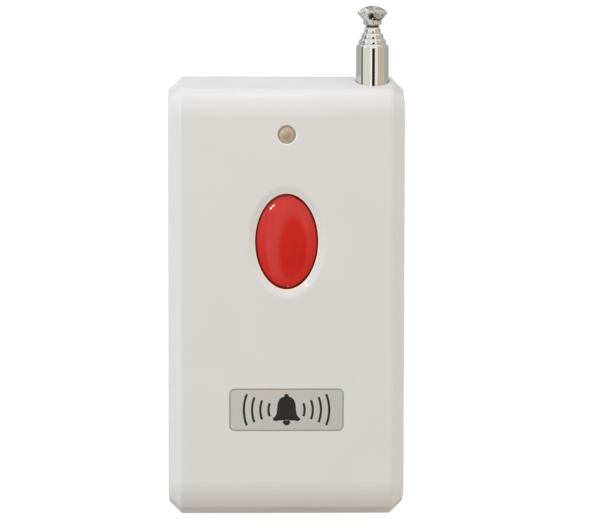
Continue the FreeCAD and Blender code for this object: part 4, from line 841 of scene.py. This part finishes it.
class PANICBUTTON_OT_plate(bpy.types.Operator):
    """Finish the metal plate and print the bell sign and the border on it"""

    bl_idname = "panic_button.plate"
    bl_label = "Plate"

    def execute(self, context):
        settings = context.scene.panic_button_plate
        low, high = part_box("label_plate")
        centre, thickness = (low + high) / 2, settings.ink_thickness
        finish_nodes(metal("plate_metal", settings.colour, patch=2.6 * MM), "label_plate")
        ink = moulded("plate_ink", settings.ink)
        line = moulded("plate_line", settings.border)

        width, height, corner = high.x - low.x, high.y - low.y, settings.border_corner
        inset = settings.border_width
        border = [
            (rounded_rectangle(width, height, corner), False),
            (rounded_rectangle(width - 2 * inset, height - 2 * inset, corner - inset), False),
        ]
        tall = settings.bell_height
        bell = [
            ([(x * tall, y * tall) for x, y in half + [(-x, y) for x, y in reversed(half)]], True)
            for half in (BELL_SIDE, CLAPPER_SIDE)
        ]
        lift = Matrix.Translation((centre.x, centre.y, high.z + thickness / 2))
        for name, outlines, print_colour in (("plate_border", border, line), ("plate_bell", bell, ink)):
            shape = inked_shape(outlines, thickness)
            shape.transform(lift)
            add_piece(name, shape, print_colour, "case")
        arcs = grown(
            sound_arcs_tree(ink), [tuple(lift.translation)],
            Count=settings.arc_count, First=settings.arc_first, Step=settings.arc_step,
            Sweep=settings.arc_sweep, Width=settings.arc_width, Thickness=thickness,
        )
        add_piece("plate_sound_arcs", arcs, ink, "case")
        return {"FINISHED"}


# How far from its middle the lens's tint changes, and where its edge grows paler with painted light, as
# shares of its radius.
TINT_REACH, EDGE_LIGHT_BAND = 1.2 * MM, (0.45, 2.0, 0.45)
# How far the lamp's cup and its post stand from the lamp's middle, and how high their wires begin.
CUP_OFFSET, POST_OFFSET, WIRE_FOOT = -0.35 * MM, 0.78 * MM, 0.25 * MM
# The cup's section above its wire, as shares of its radius and of its height from the rim.
CUP_SECTION = ((0.7, -1), (1, 0), (0.9, 0), (0.45, -0.6), (0, -0.6))
# The wires' radii: the cup's, and the post's at its foot and under its head.
CUP_WIRE, POST_FOOT, POST_NECK = 0.22 * MM, 0.2 * MM, 0.22 * MM
# The post's section above its wire, in millimetres from the rim of the cup.
POST_SECTION = ((0.42, -0.25), (0.4, 0.05), (0, 0.12))
# The seat ring: its play round the lens, its depth under the lens's dome and the rise of its outer edge.
SEAT_PLAY, SEAT_DEPTH, SEAT_RISE = 0.015 * MM, 0.3 * MM, 0.03 * MM


class PANICBUTTON_OT_lamp(bpy.types.Operator):
    """Finish the lamp's lens and leads and put the lead frame inside it"""

    bl_idname = "panic_button.lamp"
    bl_label = "Lamp"

    def execute(self, context):
        settings = context.scene.panic_button_lamp
        low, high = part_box("led_lamp")
        centre, radius = middle("led_lamp"), settings.lens_radius
        material, tree, shader, place = new_material(
            "lamp_lens", Transmission_Weight=0.15, IOR=1.5, Subsurface_Weight=0.3,
            Subsurface_Radius=(1.0, 0.8, 0.6), Subsurface_Scale=1 * MM,
        )
        rightward = spread(tree, along(tree, place, "X"), -TINT_REACH, TINT_REACH)
        tint = blend(tree, rightward, settings.lens, settings.blush)
        outward = oval_radius(tree, place, centre, (radius, radius))
        # Painted light: the lens grows paler towards its edge.
        edge_lightened = blend(tree, band(tree, outward, *EDGE_LIGHT_BAND), tint, settings.edge)
        plastic_finish(tree, shader, place, edge_lightened, "lamp_lens")
        finish_nodes(material, "led_lamp")

        tinned = metal("lead_metal", settings.metal)
        finish_nodes(tinned, "led_leads")
        foot, rim = low.z + WIRE_FOOT, low.z + settings.core_rise
        wide, tall = settings.cup_radius, settings.cup_height
        cup = [
            (0, foot), (CUP_WIRE, foot), (CUP_WIRE, rim - tall * 1.5),
            *((wide * across, rim + tall * up) for across, up in CUP_SECTION),
        ]
        post = [
            (0, foot), (POST_FOOT, foot), (POST_NECK, rim - 0.5 * MM),
            *((across * MM, rim + up * MM) for across, up in POST_SECTION),
        ]
        for name, profile, offset in (
            ("lamp_reflector_cup", cup, CUP_OFFSET), ("lamp_post", post, POST_OFFSET),
        ):
            shape = lathe(profile, Matrix.Translation((centre.x + offset, centre.y, 0)))
            add_piece(name, shape, tinned, "case")

        dome, fit = high.z - radius, radius + SEAT_PLAY
        inner = [
            (fit * math.cos(turn), dome + fit * math.sin(turn))
            for turn in (math.radians(6 * step) for step in range(6))
        ]
        outer, base, top = settings.seat_outer, dome - SEAT_DEPTH, inner[-1][1] + SEAT_RISE
        seat = lathe(
            [(outer, base), (outer, top), *reversed(inner), (inner[0][0], base), (outer, base)],
            Matrix.Translation((centre.x, centre.y, 0)), segments=64,
        )
        resin = moulded("lamp_seat_resin", settings.seat)
        add_piece("lamp_seat_ring", seat, resin, "case")
        return {"FINISHED"}


# The part of the knob with painted dark reflections: its middle from the axis and from the knob's foot, and
# its reach.
REFLECTIONS_RIGHT, REFLECTIONS_UP, REFLECTIONS_REACH = 0.45 * MM, 1.6 * MM, (1.9 * MM, 1.1 * MM)
# Where the painted reflections fade out, as shares of that reach, and the noise's values where one starts and
# is full.
REFLECTIONS_BAND, REFLECTION_STARTS, REFLECTION_FULL = (-1.0, 0.5, 0.5), 0.475, 0.53
# The washer under the knob: its inner radius, its play at each side and the size of its cut corners. It is a
# black piece that stands in for the shade in the groove under the knob.
WASHER_INNER, WASHER_PLAY, WASHER_CORNER = 1.08 * MM, 0.02 * MM, 0.05 * MM


class PANICBUTTON_OT_antenna(bpy.types.Operator):
    """Finish the telescopic antenna, its sleeves and its foot"""

    bl_idname = "panic_button.antenna"
    bl_label = "Antenna"

    def execute(self, context):
        settings = context.scene.panic_button_antenna
        chrome = metal("antenna_chrome", settings.chrome, patch=settings.patch)
        finish_nodes(
            chrome, "antenna_tube_1", "antenna_tube_2", "antenna_tube_3", "antenna_tube_4", "antenna_rod"
        )
        material, tree, shader, place = new_material("knob_chrome", Metallic=1.0)
        tinted = metal_tint(tree, place, settings.knob, settings.patch)
        foot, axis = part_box("antenna_knob")[0].y, middle("antenna_rod")
        # Painted dark reflections in a patch on the knob's right side.
        cluster = oval_radius(tree, place, (axis.x + REFLECTIONS_RIGHT, foot + REFLECTIONS_UP), REFLECTIONS_REACH)
        belly = band(tree, cluster, *REFLECTIONS_BAND)
        reflection_spots = spread(tree, noise(tree, place, settings.spot, 3.0, 0.6), REFLECTION_STARTS, REFLECTION_FULL)
        reflections_painted = blend(tree, calc(tree, "MULTIPLY", belly, reflection_spots), tinted, settings.spot_colour)
        metal_finish(tree, shader, place, reflections_painted, "knob_chrome")
        finish_nodes(material, "antenna_knob")
        brass = metal("sleeve_brass", settings.brass)
        finish_nodes(
            brass, "antenna_sleeve_2", "antenna_sleeve_3", "antenna_sleeve_4", "antenna_sleeve_5",
            "antenna_plug", "antenna_bracket",
        )

        mouth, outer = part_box("antenna_tube_4")[1].y, settings.washer_radius
        thick, bevelled = (foot - mouth) - 2 * WASHER_PLAY, outer - WASHER_CORNER
        stand = Matrix.Translation((axis.x, mouth + WASHER_PLAY, axis.z))
        washer = lathe(
            [
                (WASHER_INNER, 0), (bevelled, 0), (outer, WASHER_CORNER), (outer, thick - WASHER_CORNER),
                (bevelled, thick), (WASHER_INNER, thick), (WASHER_INNER, 0),
            ],
            stand @ Matrix.Rotation(math.radians(-90), 4, "X"),
        )
        # A black piece as painted shade in the groove between the knob and the tube.
        groove_shade = moulded("groove_shade_black", srgb(10, 10, 10))
        add_piece("groove_shade_washer", washer, groove_shade, "tip")
        return {"FINISHED"}


# From a screw's axis to the edge of its head, and from its tip to where the thread begins.
HEAD_RADIUS, PLAIN_TIP = 2.1 * MM, 1.2 * MM


class PANICBUTTON_OT_screws(bpy.types.Operator):
    """Finish the screws and cut their threads"""

    bl_idname = "panic_button.screws"
    bl_label = "Screws"

    def execute(self, context):
        settings = context.scene.panic_button_screws
        steel = metal("screw_steel", settings.steel)
        finish_nodes(steel, "case_screws", "antenna_screw")
        low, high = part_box("case_screws")
        top, bottom, side = high.y - HEAD_RADIUS, low.y + HEAD_RADIUS, high.x - HEAD_RADIUS
        start = high.z - settings.pitch * settings.turns - PLAIN_TIP
        threads = grown(
            thread_tree(steel), [(-side, top, start), (-side, bottom, start), (side, bottom, start)],
            Pitch=settings.pitch, Turns=settings.turns, Shank=settings.shank, Ridge=settings.ridge,
        )
        add_piece("case_screw_threads", threads, steel, "case")
        return {"FINISHED"}


# Soldered wires at the ends of a part: how far in from its sides they stand, and their rows along Y.
END_WIRES = (("led_leads", 0.25, (0,)), ("switch_base", 0.15, (-2.25, 2.25)))
# Soldered wires on both sides of a part's middle, and how far from it. All are in millimetres.
SIDE_WIRES = (("radio_transistor", 1.27), ("supply_capacitor", 1.0), ("antenna_coil", 2.0))


# How many copper fields and how many tracks there are in a metre of board, and where a field starts and is
# full, as shares of the distance between fields.
FIELDS, TRACKS, FIELD_STARTS, FIELD_FULL = 330.0, 190.0, 0.34, 0.37


class PANICBUTTON_OT_board(bpy.types.Operator):
    """Finish the circuit board and solder its parts"""

    bl_idname = "panic_button.board"
    bl_label = "Circuit Board"

    def execute(self, context):
        settings = context.scene.panic_button_board
        material, tree, shader, place = new_material("board_laminate", Coat_Weight=0.4, Coat_Roughness=0.2)
        cells = result(
            tree, "ShaderNodeTexVoronoi", {"Vector": place, "Scale": FIELDS, "Randomness": 0.8},
            distance="CHEBYCHEV", feature="SMOOTH_F1",
        )
        rows = result(
            tree, "ShaderNodeTexBrick",
            {
                "Vector": place, "Scale": TRACKS, "Mortar Size": 0.09, "Mortar Smooth": 0.1,
                "Color1": opaque(settings.resist), "Color2": opaque(settings.resist),
                "Mortar": opaque(settings.track),
            },
        )
        copper = blend(tree, spread(tree, cells, FIELD_STARTS, FIELD_FULL), rows, settings.track)
        plastic_finish(tree, shader, place, copper, "board_laminate")
        finish_nodes(material, "circuit_board")

        solder = metal("solder", settings.solder)
        under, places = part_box("circuit_board")[0].z, []
        for part, inset, wire_rows in END_WIRES:
            low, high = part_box(part)
            for x in (low.x + inset * MM, high.x - inset * MM):
                places += [(x, middle(part).y + row * MM, under) for row in wire_rows]
        for part, apart in SIDE_WIRES:
            centre = middle(part)
            places += [(centre.x + side * apart * MM, centre.y, under) for side in (-1, 1)]
        joints = grown(
            solder_tree(solder), places, Radius=settings.joint_radius, Height=settings.joint_height
        )
        add_piece("solder_joints", smoothed(joints, CRISP_SOLDER), solder, "case")
        return {"FINISHED"}


def dome_outline(half, rise, sheet, steps=10):
    """The section of a thin sprung dome that stands on Z 0, from the underside's middle round to the top."""
    radius = (half * half + rise * rise) / (2 * rise)
    points = []
    for ball in (radius - sheet, radius):
        rim = math.acos((radius - rise) / ball)
        side = [
            (ball * math.sin(rim * step / steps), ball * math.cos(rim * step / steps) + rise - radius)
            for step in range(steps + 1)
        ]
        points += side if ball < radius else side[::-1]
    return points


class PANICBUTTON_OT_switch(bpy.types.Operator):
    """Finish the push switch, and put a thin sprung dome in place of the CAD one"""

    bl_idname = "panic_button.switch"
    bl_label = "Switch"

    def execute(self, context):
        settings = context.scene.panic_button_switch
        black = moulded("switch_plastic", srgb(38, 38, 40))
        steel = metal("switch_metal", srgb(190, 189, 186))
        finish_nodes(black, "switch_base", "switch_plunger")
        finish_nodes(steel, "switch_frame", "switch_dome")
        low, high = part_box("switch_dome")
        rise = high.z - low.z
        foot = (middle("switch_dome").x, middle("switch_dome").y, low.z)
        cap = lathe(
            dome_outline((high.x - low.x) / 2, rise, settings.dome_sheet), Matrix.Translation(foot)
        )
        dome = add_piece("sprung_dome", cap, steel, "case")
        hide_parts("switch_dome")
        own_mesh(dome)
        return {"FINISHED"}


class PANICBUTTON_OT_chips(bpy.types.Operator):
    """Finish the parts that stand on the board"""

    bl_idname = "panic_button.chips"
    bl_label = "Board Parts"

    def execute(self, context):
        finish_nodes(moulded("chip_plastic", srgb(34, 34, 36)), "encoder_chip", "radio_transistor")
        finish_nodes(metal("can_metal", srgb(206, 204, 198)), "resonator_can")
        finish_nodes(metal("coil_copper", srgb(198, 112, 70)), "antenna_coil")
        sleeve = moulded("capacitor_can", srgb(36, 48, 92), Coat_Weight=0.5, Coat_Roughness=0.15)
        finish_nodes(sleeve, "supply_capacitor")
        finish_nodes(moulded("capacitor_ceramic", srgb(176, 140, 96)), "chip_capacitors")
        finish_nodes(moulded("resistor_ceramic", srgb(54, 54, 58)), "chip_resistors")
        return {"FINISHED"}


# The battery's coloured band as a share of its length, the bare steel at its two ends, and their soft edge.
BAND_SHARE, LOW_END, HIGH_END, JACKET_EDGE = 0.3, 0.4 * MM, 1.6 * MM, 0.1 * MM


class PANICBUTTON_OT_battery(bpy.types.Operator):
    """Finish the battery and its contacts"""

    bl_idname = "panic_button.battery"
    bl_label = "Battery"

    def execute(self, context):
        settings = context.scene.panic_button_battery
        low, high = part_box("battery")
        length = high.x - low.x
        material, tree, shader, place = new_material("battery_jacket", Coat_Weight=0.3, Coat_Roughness=0.1)
        across = along(tree, place, "X")
        banded = band(tree, across, high.x - BAND_SHARE * length, high.x, JACKET_EDGE)
        jacketed = band(tree, across, low.x + LOW_END, high.x - HIGH_END, JACKET_EDGE)
        steel_ends = calc(tree, "SUBTRACT", 1.0, jacketed)
        wrapped = blend(tree, banded, settings.jacket, settings.band)
        colour = blend(tree, steel_ends, wrapped, settings.steel)
        plastic_finish(tree, shader, place, colour, "battery_jacket")
        tree.links.new(steel_ends, shader.inputs["Metallic"])
        finish_nodes(material, "battery")
        nickel = metal("contact_metal", settings.steel)
        finish_nodes(nickel, "positive_contact", "negative_contact", "battery_spring")
        return {"FINISHED"}


# ---- the stage


# The point that every lamp shines at.
LAMP_TARGET = Vector((0, 0, 12 * MM))
# The point under the middle of the picture, over the origin, and how far the view then moves right and up.
VIEW_HEIGHT, VIEW_RIGHT, VIEW_UP = 8 * MM, 2.613 * MM, 6.257 * MM
SENSOR_WIDTH = 36.0
# The floor's half width, and how far under the back face it lies.
FLOOR_REACH, FLOOR_GAP = 3.0, 0.02 * MM
# The floor's tone for the light that it gives back, for the camera, and how much darker it is in mirrors.
FLOOR_TONE, FLOOR_SEEN, FLOOR_DARKER = 0.8, 0.12, 0.31
# The floor's own glow for the camera and in mirrors.
GLOW_SEEN, GLOW_MIRRORED = 0.935, 0.02
SKY_COLOUR = (1.0, 0.936, 0.817)


def area_lamp(name, direction, distance, width, height, radiance, colour=WHITE):
    """A flat lamp that shines at the target from a direction, with a radiance and not a power."""
    light = bpy.data.lights.new(name, "AREA")
    light.shape = "RECTANGLE"
    light.size, light.size_y = width, height
    light.energy = radiance * width * height * math.pi
    light.color = colour
    lamp = in_scene(name, light)
    place = LAMP_TARGET + Vector(direction).normalized() * distance
    turn = (LAMP_TARGET - place).to_track_quat("-Z", "Y")
    lamp.matrix_world = Matrix.Translation(place) @ turn.to_matrix().to_4x4()
    return lamp


def shine_only_on(lamp, target):
    """Keeps a lamp's light off everything but one object."""
    receivers = bpy.data.collections.new(f"{lamp.name}_receivers")
    receivers.objects.link(target)
    lamp.light_linking.receiver_collection = receivers


def sheet(name, corners, material):
    """One flat face that belongs to the stage."""
    mesh = bpy.data.meshes.new(name)
    mesh.from_pydata(corners, [], [tuple(range(len(corners)))])
    mesh.materials.append(material)
    thing = in_scene(name, mesh)
    return thing


def level(left, right, near, far, height):
    """The corners of a level rectangle."""
    return [(left, near, height), (right, near, height), (right, far, height), (left, far, height)]


def reflector_card(name, corners, colour, glow):
    """A card that only shows in reflections. Its glow is a strength, or a function that makes one."""
    material = bpy.data.materials.new(name)
    tree = emptied(material)
    strength = glow(tree, object_place(tree)) if callable(glow) else glow
    show(tree, node(tree, "ShaderNodeEmission", {"Color": opaque(colour), "Strength": strength}))
    card = sheet(name, corners, material)
    card.visible_camera = card.visible_diffuse = card.visible_shadow = False
    card.visible_transmission = card.visible_volume_scatter = False


def fading(tree, place, direction, start, end, first, last):
    """A value that goes smoothly from first to last between two places along a direction."""
    reached = node(tree, "ShaderNodeVectorMath", {0: place, 1: direction}, operation="DOT_PRODUCT")
    return spread(tree, reached.outputs["Value"], start, end, first, last, soft=True)


def streaky(tree, place, line, low, high):
    """A value that changes in stripes along Y, as what stands in a room does."""
    squeezed = vector_calc(tree, "MULTIPLY", place, (1.0, 0.02, 1.0))
    return mapped(tree, noise(tree, squeezed, line, 1.0), low, high)


def overhead_glow(tree, place):
    """Dim in an oval over the button, and brighter towards the lamps."""
    away = oval_radius(tree, place, (0.055, -0.053), (0.088, 0.105))
    rest = fading(tree, place, (0.5, -1.0, 0.0), -0.02, 0.22, 1.13, 0.43)
    open_part = spread(tree, away, 0.75, 1.25, soft=True)
    return result(tree, "ShaderNodeMix", {0: open_part, 2: 0.2, 3: rest})


def left_glow(tree, place):
    return fading(tree, place, (0.0, 1.0, 0.0), -0.06, 0.035, 0.45, 0.84)


def right_glow(tree, place):
    return streaky(tree, place, 0.05, 0.52, 0.74)


def crown_glow(tree, place):
    return calc(tree, "POWER", streaky(tree, place, 0.005, 0.15, 1.5), 2.5)


def on_rays(tree, *kinds):
    """1 on rays of any of these kinds, and 0 on the rest."""
    rays = tree.nodes.new("ShaderNodeLightPath").outputs
    total, *others = (rays[f"Is {kind} Ray"] for kind in kinds)
    for other in others:
        total = calc(tree, "MAXIMUM", total, other)
    return total


def build_floor():
    """A plain pale floor that shows white, with the object's soft shadow on it."""
    material = bpy.data.materials.new("floor")
    tree = emptied(material)
    camera, mirrored = on_rays(tree, "Camera"), on_rays(tree, "Glossy", "Transmission")
    shade = spread(tree, camera, 0.0, 1.0, FLOOR_TONE, FLOOR_SEEN)
    tone = calc(tree, "SUBTRACT", shade, calc(tree, "MULTIPLY", mirrored, FLOOR_DARKER))
    paper = result(tree, "ShaderNodeBsdfDiffuse", {"Color": tone})
    direct = calc(tree, "MULTIPLY", camera, GLOW_SEEN)
    strength = calc(tree, "ADD", calc(tree, "MULTIPLY", mirrored, GLOW_MIRRORED), direct)
    white = result(tree, "ShaderNodeEmission", {"Color": opaque(WHITE), "Strength": strength})
    show(tree, node(tree, "ShaderNodeAddShader", {0: paper, 1: white}))
    sheet("floor", level(-FLOOR_REACH, FLOOR_REACH, -FLOOR_REACH, FLOOR_REACH, -FLOOR_GAP), material)


def build_sky(strength):
    """Even light from all round, a little warm against the cooler lamps. Seen directly, it is white."""
    world = bpy.data.worlds.new("sky")
    tree = emptied(world)
    dim = result(tree, "ShaderNodeBackground", {"Color": opaque(SKY_COLOUR), "Strength": strength})
    white = result(tree, "ShaderNodeBackground", {"Color": opaque(WHITE), "Strength": 1.0})
    seen = on_rays(tree, "Camera", "Glossy", "Transmission")
    show(tree, node(tree, "ShaderNodeMixShader", {0: seen, 1: dim, 2: white}), "ShaderNodeOutputWorld")
    bpy.context.scene.world = world


def build_camera(settings):
    """The camera, where it stood for the photograph."""
    raised = settings.raised
    view = Vector((-math.sin(settings.turned), math.sin(raised), math.cos(raised))).normalized()
    right = Vector((0, 1, 0)).cross(view).normalized()
    up = view.cross(right)
    target = Vector((0, 0, VIEW_HEIGHT)) + right * VIEW_RIGHT + up * VIEW_UP
    data = bpy.data.cameras.new("camera")
    data.lens, data.sensor_width = settings.lens, SENSOR_WIDTH
    data.clip_start, data.clip_end = 0.01, 20.0
    camera = in_scene("camera", data)
    camera.matrix_world = (
        Matrix.Translation(target + view * settings.distance)
        @ Matrix.Rotation(settings.rolled, 4, view)
        @ Matrix((right, up, view)).transposed().to_4x4()
    )
    bpy.context.scene.camera = camera


# Each card that shows in the glossy parts: its name, corners, colour and glow.
CARDS = (
    (
        "overhead_card",
        [(-0.131, 0.16, 0.45), (0.13, 0.16, 0.45), (0.14, 0.03, 0.45), (0.42, 0.03, 0.45),
         (0.42, -0.45, 0.45), (-0.131, -0.45, 0.45)],
        (1.0, 0.98, 0.94), overhead_glow,
    ),
    ("streak_card", level(0.0124, 0.0272, 0.036, 0.0495, 0.0525), WHITE, 0.018),
    ("left_ceiling", level(-0.75, -0.131, -0.45, 0.3, 0.45), (1.0, 1.0, 0.95), left_glow),
    (
        "left_wall", [(-0.6, -0.45, 0.205), (-0.75, -0.45, 0.45), (-0.75, 0.3, 0.45), (-0.6, 0.3, 0.205)],
        (1.0, 1.0, 0.95), left_glow,
    ),
    (
        "right_card", [(0.33, -0.5, 0.45), (0.33, 0.5, 0.45), (1.1, 0.5, 0.0), (1.1, -0.5, 0.0)],
        (1.0, 0.9, 0.73), right_glow,
    ),
    (
        "left_card", [(-0.6, -0.4, 0.03), (-0.6, 0.4, 0.03), (-0.6, 0.4, 0.205), (-0.6, -0.4, 0.205)],
        WHITE, 0.16,
    ),
    (
        "front_card", [(-0.15, -0.1, 0.0), (0.15, -0.1, 0.0), (0.15, -0.1, 0.09), (-0.15, -0.1, 0.09)],
        WHITE, 0.25,
    ),
    ("crown_card", level(-0.02, 0.055, 0.058, 0.2, 0.0006), WHITE, crown_glow),
)

# Each lamp's name, direction, distance, width, height, radiance and colour.
LAMPS = (
    ("key_lamp", (-0.36, 0.50, 0.78), 0.9, 0.5, 0.5, 2.65, (0.859, 0.909, 1.0)),
    ("top_lamp", (-0.1, 0.95, 0.14), 0.9, 0.9, 0.2, 5.0, (0.745, 0.858, 1.0)),
    ("left_lamp", (-0.8, 0.2, 0.4), 0.9, 0.3, 0.3, 10.6, (0.74, 0.865, 1.0)),
    ("right_lamp", (0.9, 0.1, 0.4), 0.9, 0.5, 0.3, 4.9, (1.0, 0.978, 0.959)),
)
# The lamps too large to show as themselves in the glossy parts.
UNSEEN_LAMPS = ("key_lamp", "top_lamp", "right_lamp")

# The small bright things that only show as highlights: name, the node that they shine on, direction,
# distance, width, height and radiance.
GLINTS = (
    ("glint_left", "button_cap", (-0.2995, 0.2577, 0.9187), 0.4, 0.011, 0.007, 140.0),
    ("glint_right", "button_cap", (-0.255, 0.2848, 0.924), 0.4, 0.013, 0.007, 140.0),
    ("glint_edge", "button_cap", (-0.4872, 0.2316, 0.8421), 0.4, 0.008, 0.005, 90.0),
    ("glint_low", "button_cap", (0.059, -0.5665, 0.8219), 0.4, 0.016, 0.008, 20.0),
    ("glint_lens", "led_lamp", (-0.7577, 0.531, 0.3795), 0.5, 0.08, 0.08, 420.0),
    ("glint_lens_top", "led_lamp", (0.0652, 0.9375, 0.3418), 0.5, 0.08, 0.05, 60.0),
    ("glint_roll", "front_shell", (0.0072, 0.8749, 0.4843), 0.5, 0.03, 0.14, 4.0),
    ("glint_dish", "front_shell", (-0.3807, 0.3558, 0.8535), 0.4, 0.009, 0.004, 170.0),
)


class PANICBUTTON_OT_stage(bpy.types.Operator):
    """Set up the floor, the lights, the cards and the camera"""

    bl_idname = "panic_button.stage"
    bl_label = "Stage"

    def execute(self, context):
        settings = context.scene.panic_button_stage
        build_floor()
        build_sky(settings.sky)
        build_camera(settings)
        for name, *rest in LAMPS:
            lamp = area_lamp(name, *rest)
            lamp.visible_glossy = name not in UNSEEN_LAMPS
        for name, target, *rest in GLINTS:
            lamp = area_lamp(name, *rest)
            lamp.visible_diffuse = False
            shine_only_on(lamp, NODES[target])
        for card in CARDS:
            reflector_card(*card)
        context.scene.view_settings.view_transform = "Standard"
        return {"FINISHED"}


# ---- the add-on


OPERATORS = (
    PANICBUTTON_OT_case, PANICBUTTON_OT_push_button, PANICBUTTON_OT_plate, PANICBUTTON_OT_lamp,
    PANICBUTTON_OT_antenna, PANICBUTTON_OT_screws, PANICBUTTON_OT_board, PANICBUTTON_OT_switch,
    PANICBUTTON_OT_chips, PANICBUTTON_OT_battery, PANICBUTTON_OT_stage,
)

SETTINGS = {
    "panic_button_case": PanicButtonCaseSettings,
    "panic_button_cap": PanicButtonCapSettings,
    "panic_button_plate": PanicButtonPlateSettings,
    "panic_button_lamp": PanicButtonLampSettings,
    "panic_button_antenna": PanicButtonAntennaSettings,
    "panic_button_screws": PanicButtonScrewSettings,
    "panic_button_board": PanicButtonBoardSettings,
    "panic_button_switch": PanicButtonSwitchSettings,
    "panic_button_battery": PanicButtonBatterySettings,
    "panic_button_stage": PanicButtonStageSettings,
}


class PANICBUTTON_PT_pieces(bpy.types.Panel):
    """Lists the pieces of the panic button"""

    bl_idname = "PANICBUTTON_PT_pieces"
    bl_label = "Wireless Panic Button"
    bl_space_type = "VIEW_3D"
    bl_region_type = "UI"
    bl_category = "Panic Button"

    def draw(self, context):
        for operator in OPERATORS:
            self.layout.operator(operator.bl_idname)


CLASSES = (*SETTINGS.values(), *OPERATORS, PANICBUTTON_PT_pieces)


def register():
    for kind in CLASSES:
        bpy.utils.register_class(kind)
    for name, settings in SETTINGS.items():
        setattr(bpy.types.Scene, name, PointerProperty(type=settings))


def unregister():
    for name in SETTINGS:
        delattr(bpy.types.Scene, name)
    for kind in reversed(CLASSES):
        bpy.utils.unregister_class(kind)


def main():
    """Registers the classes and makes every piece."""
    register()
    build_effects()
    for operator in OPERATORS:
        family, name = operator.bl_idname.split(".")
        getattr(getattr(bpy.ops, family), name)()


if __name__ == "__main__":
    main()
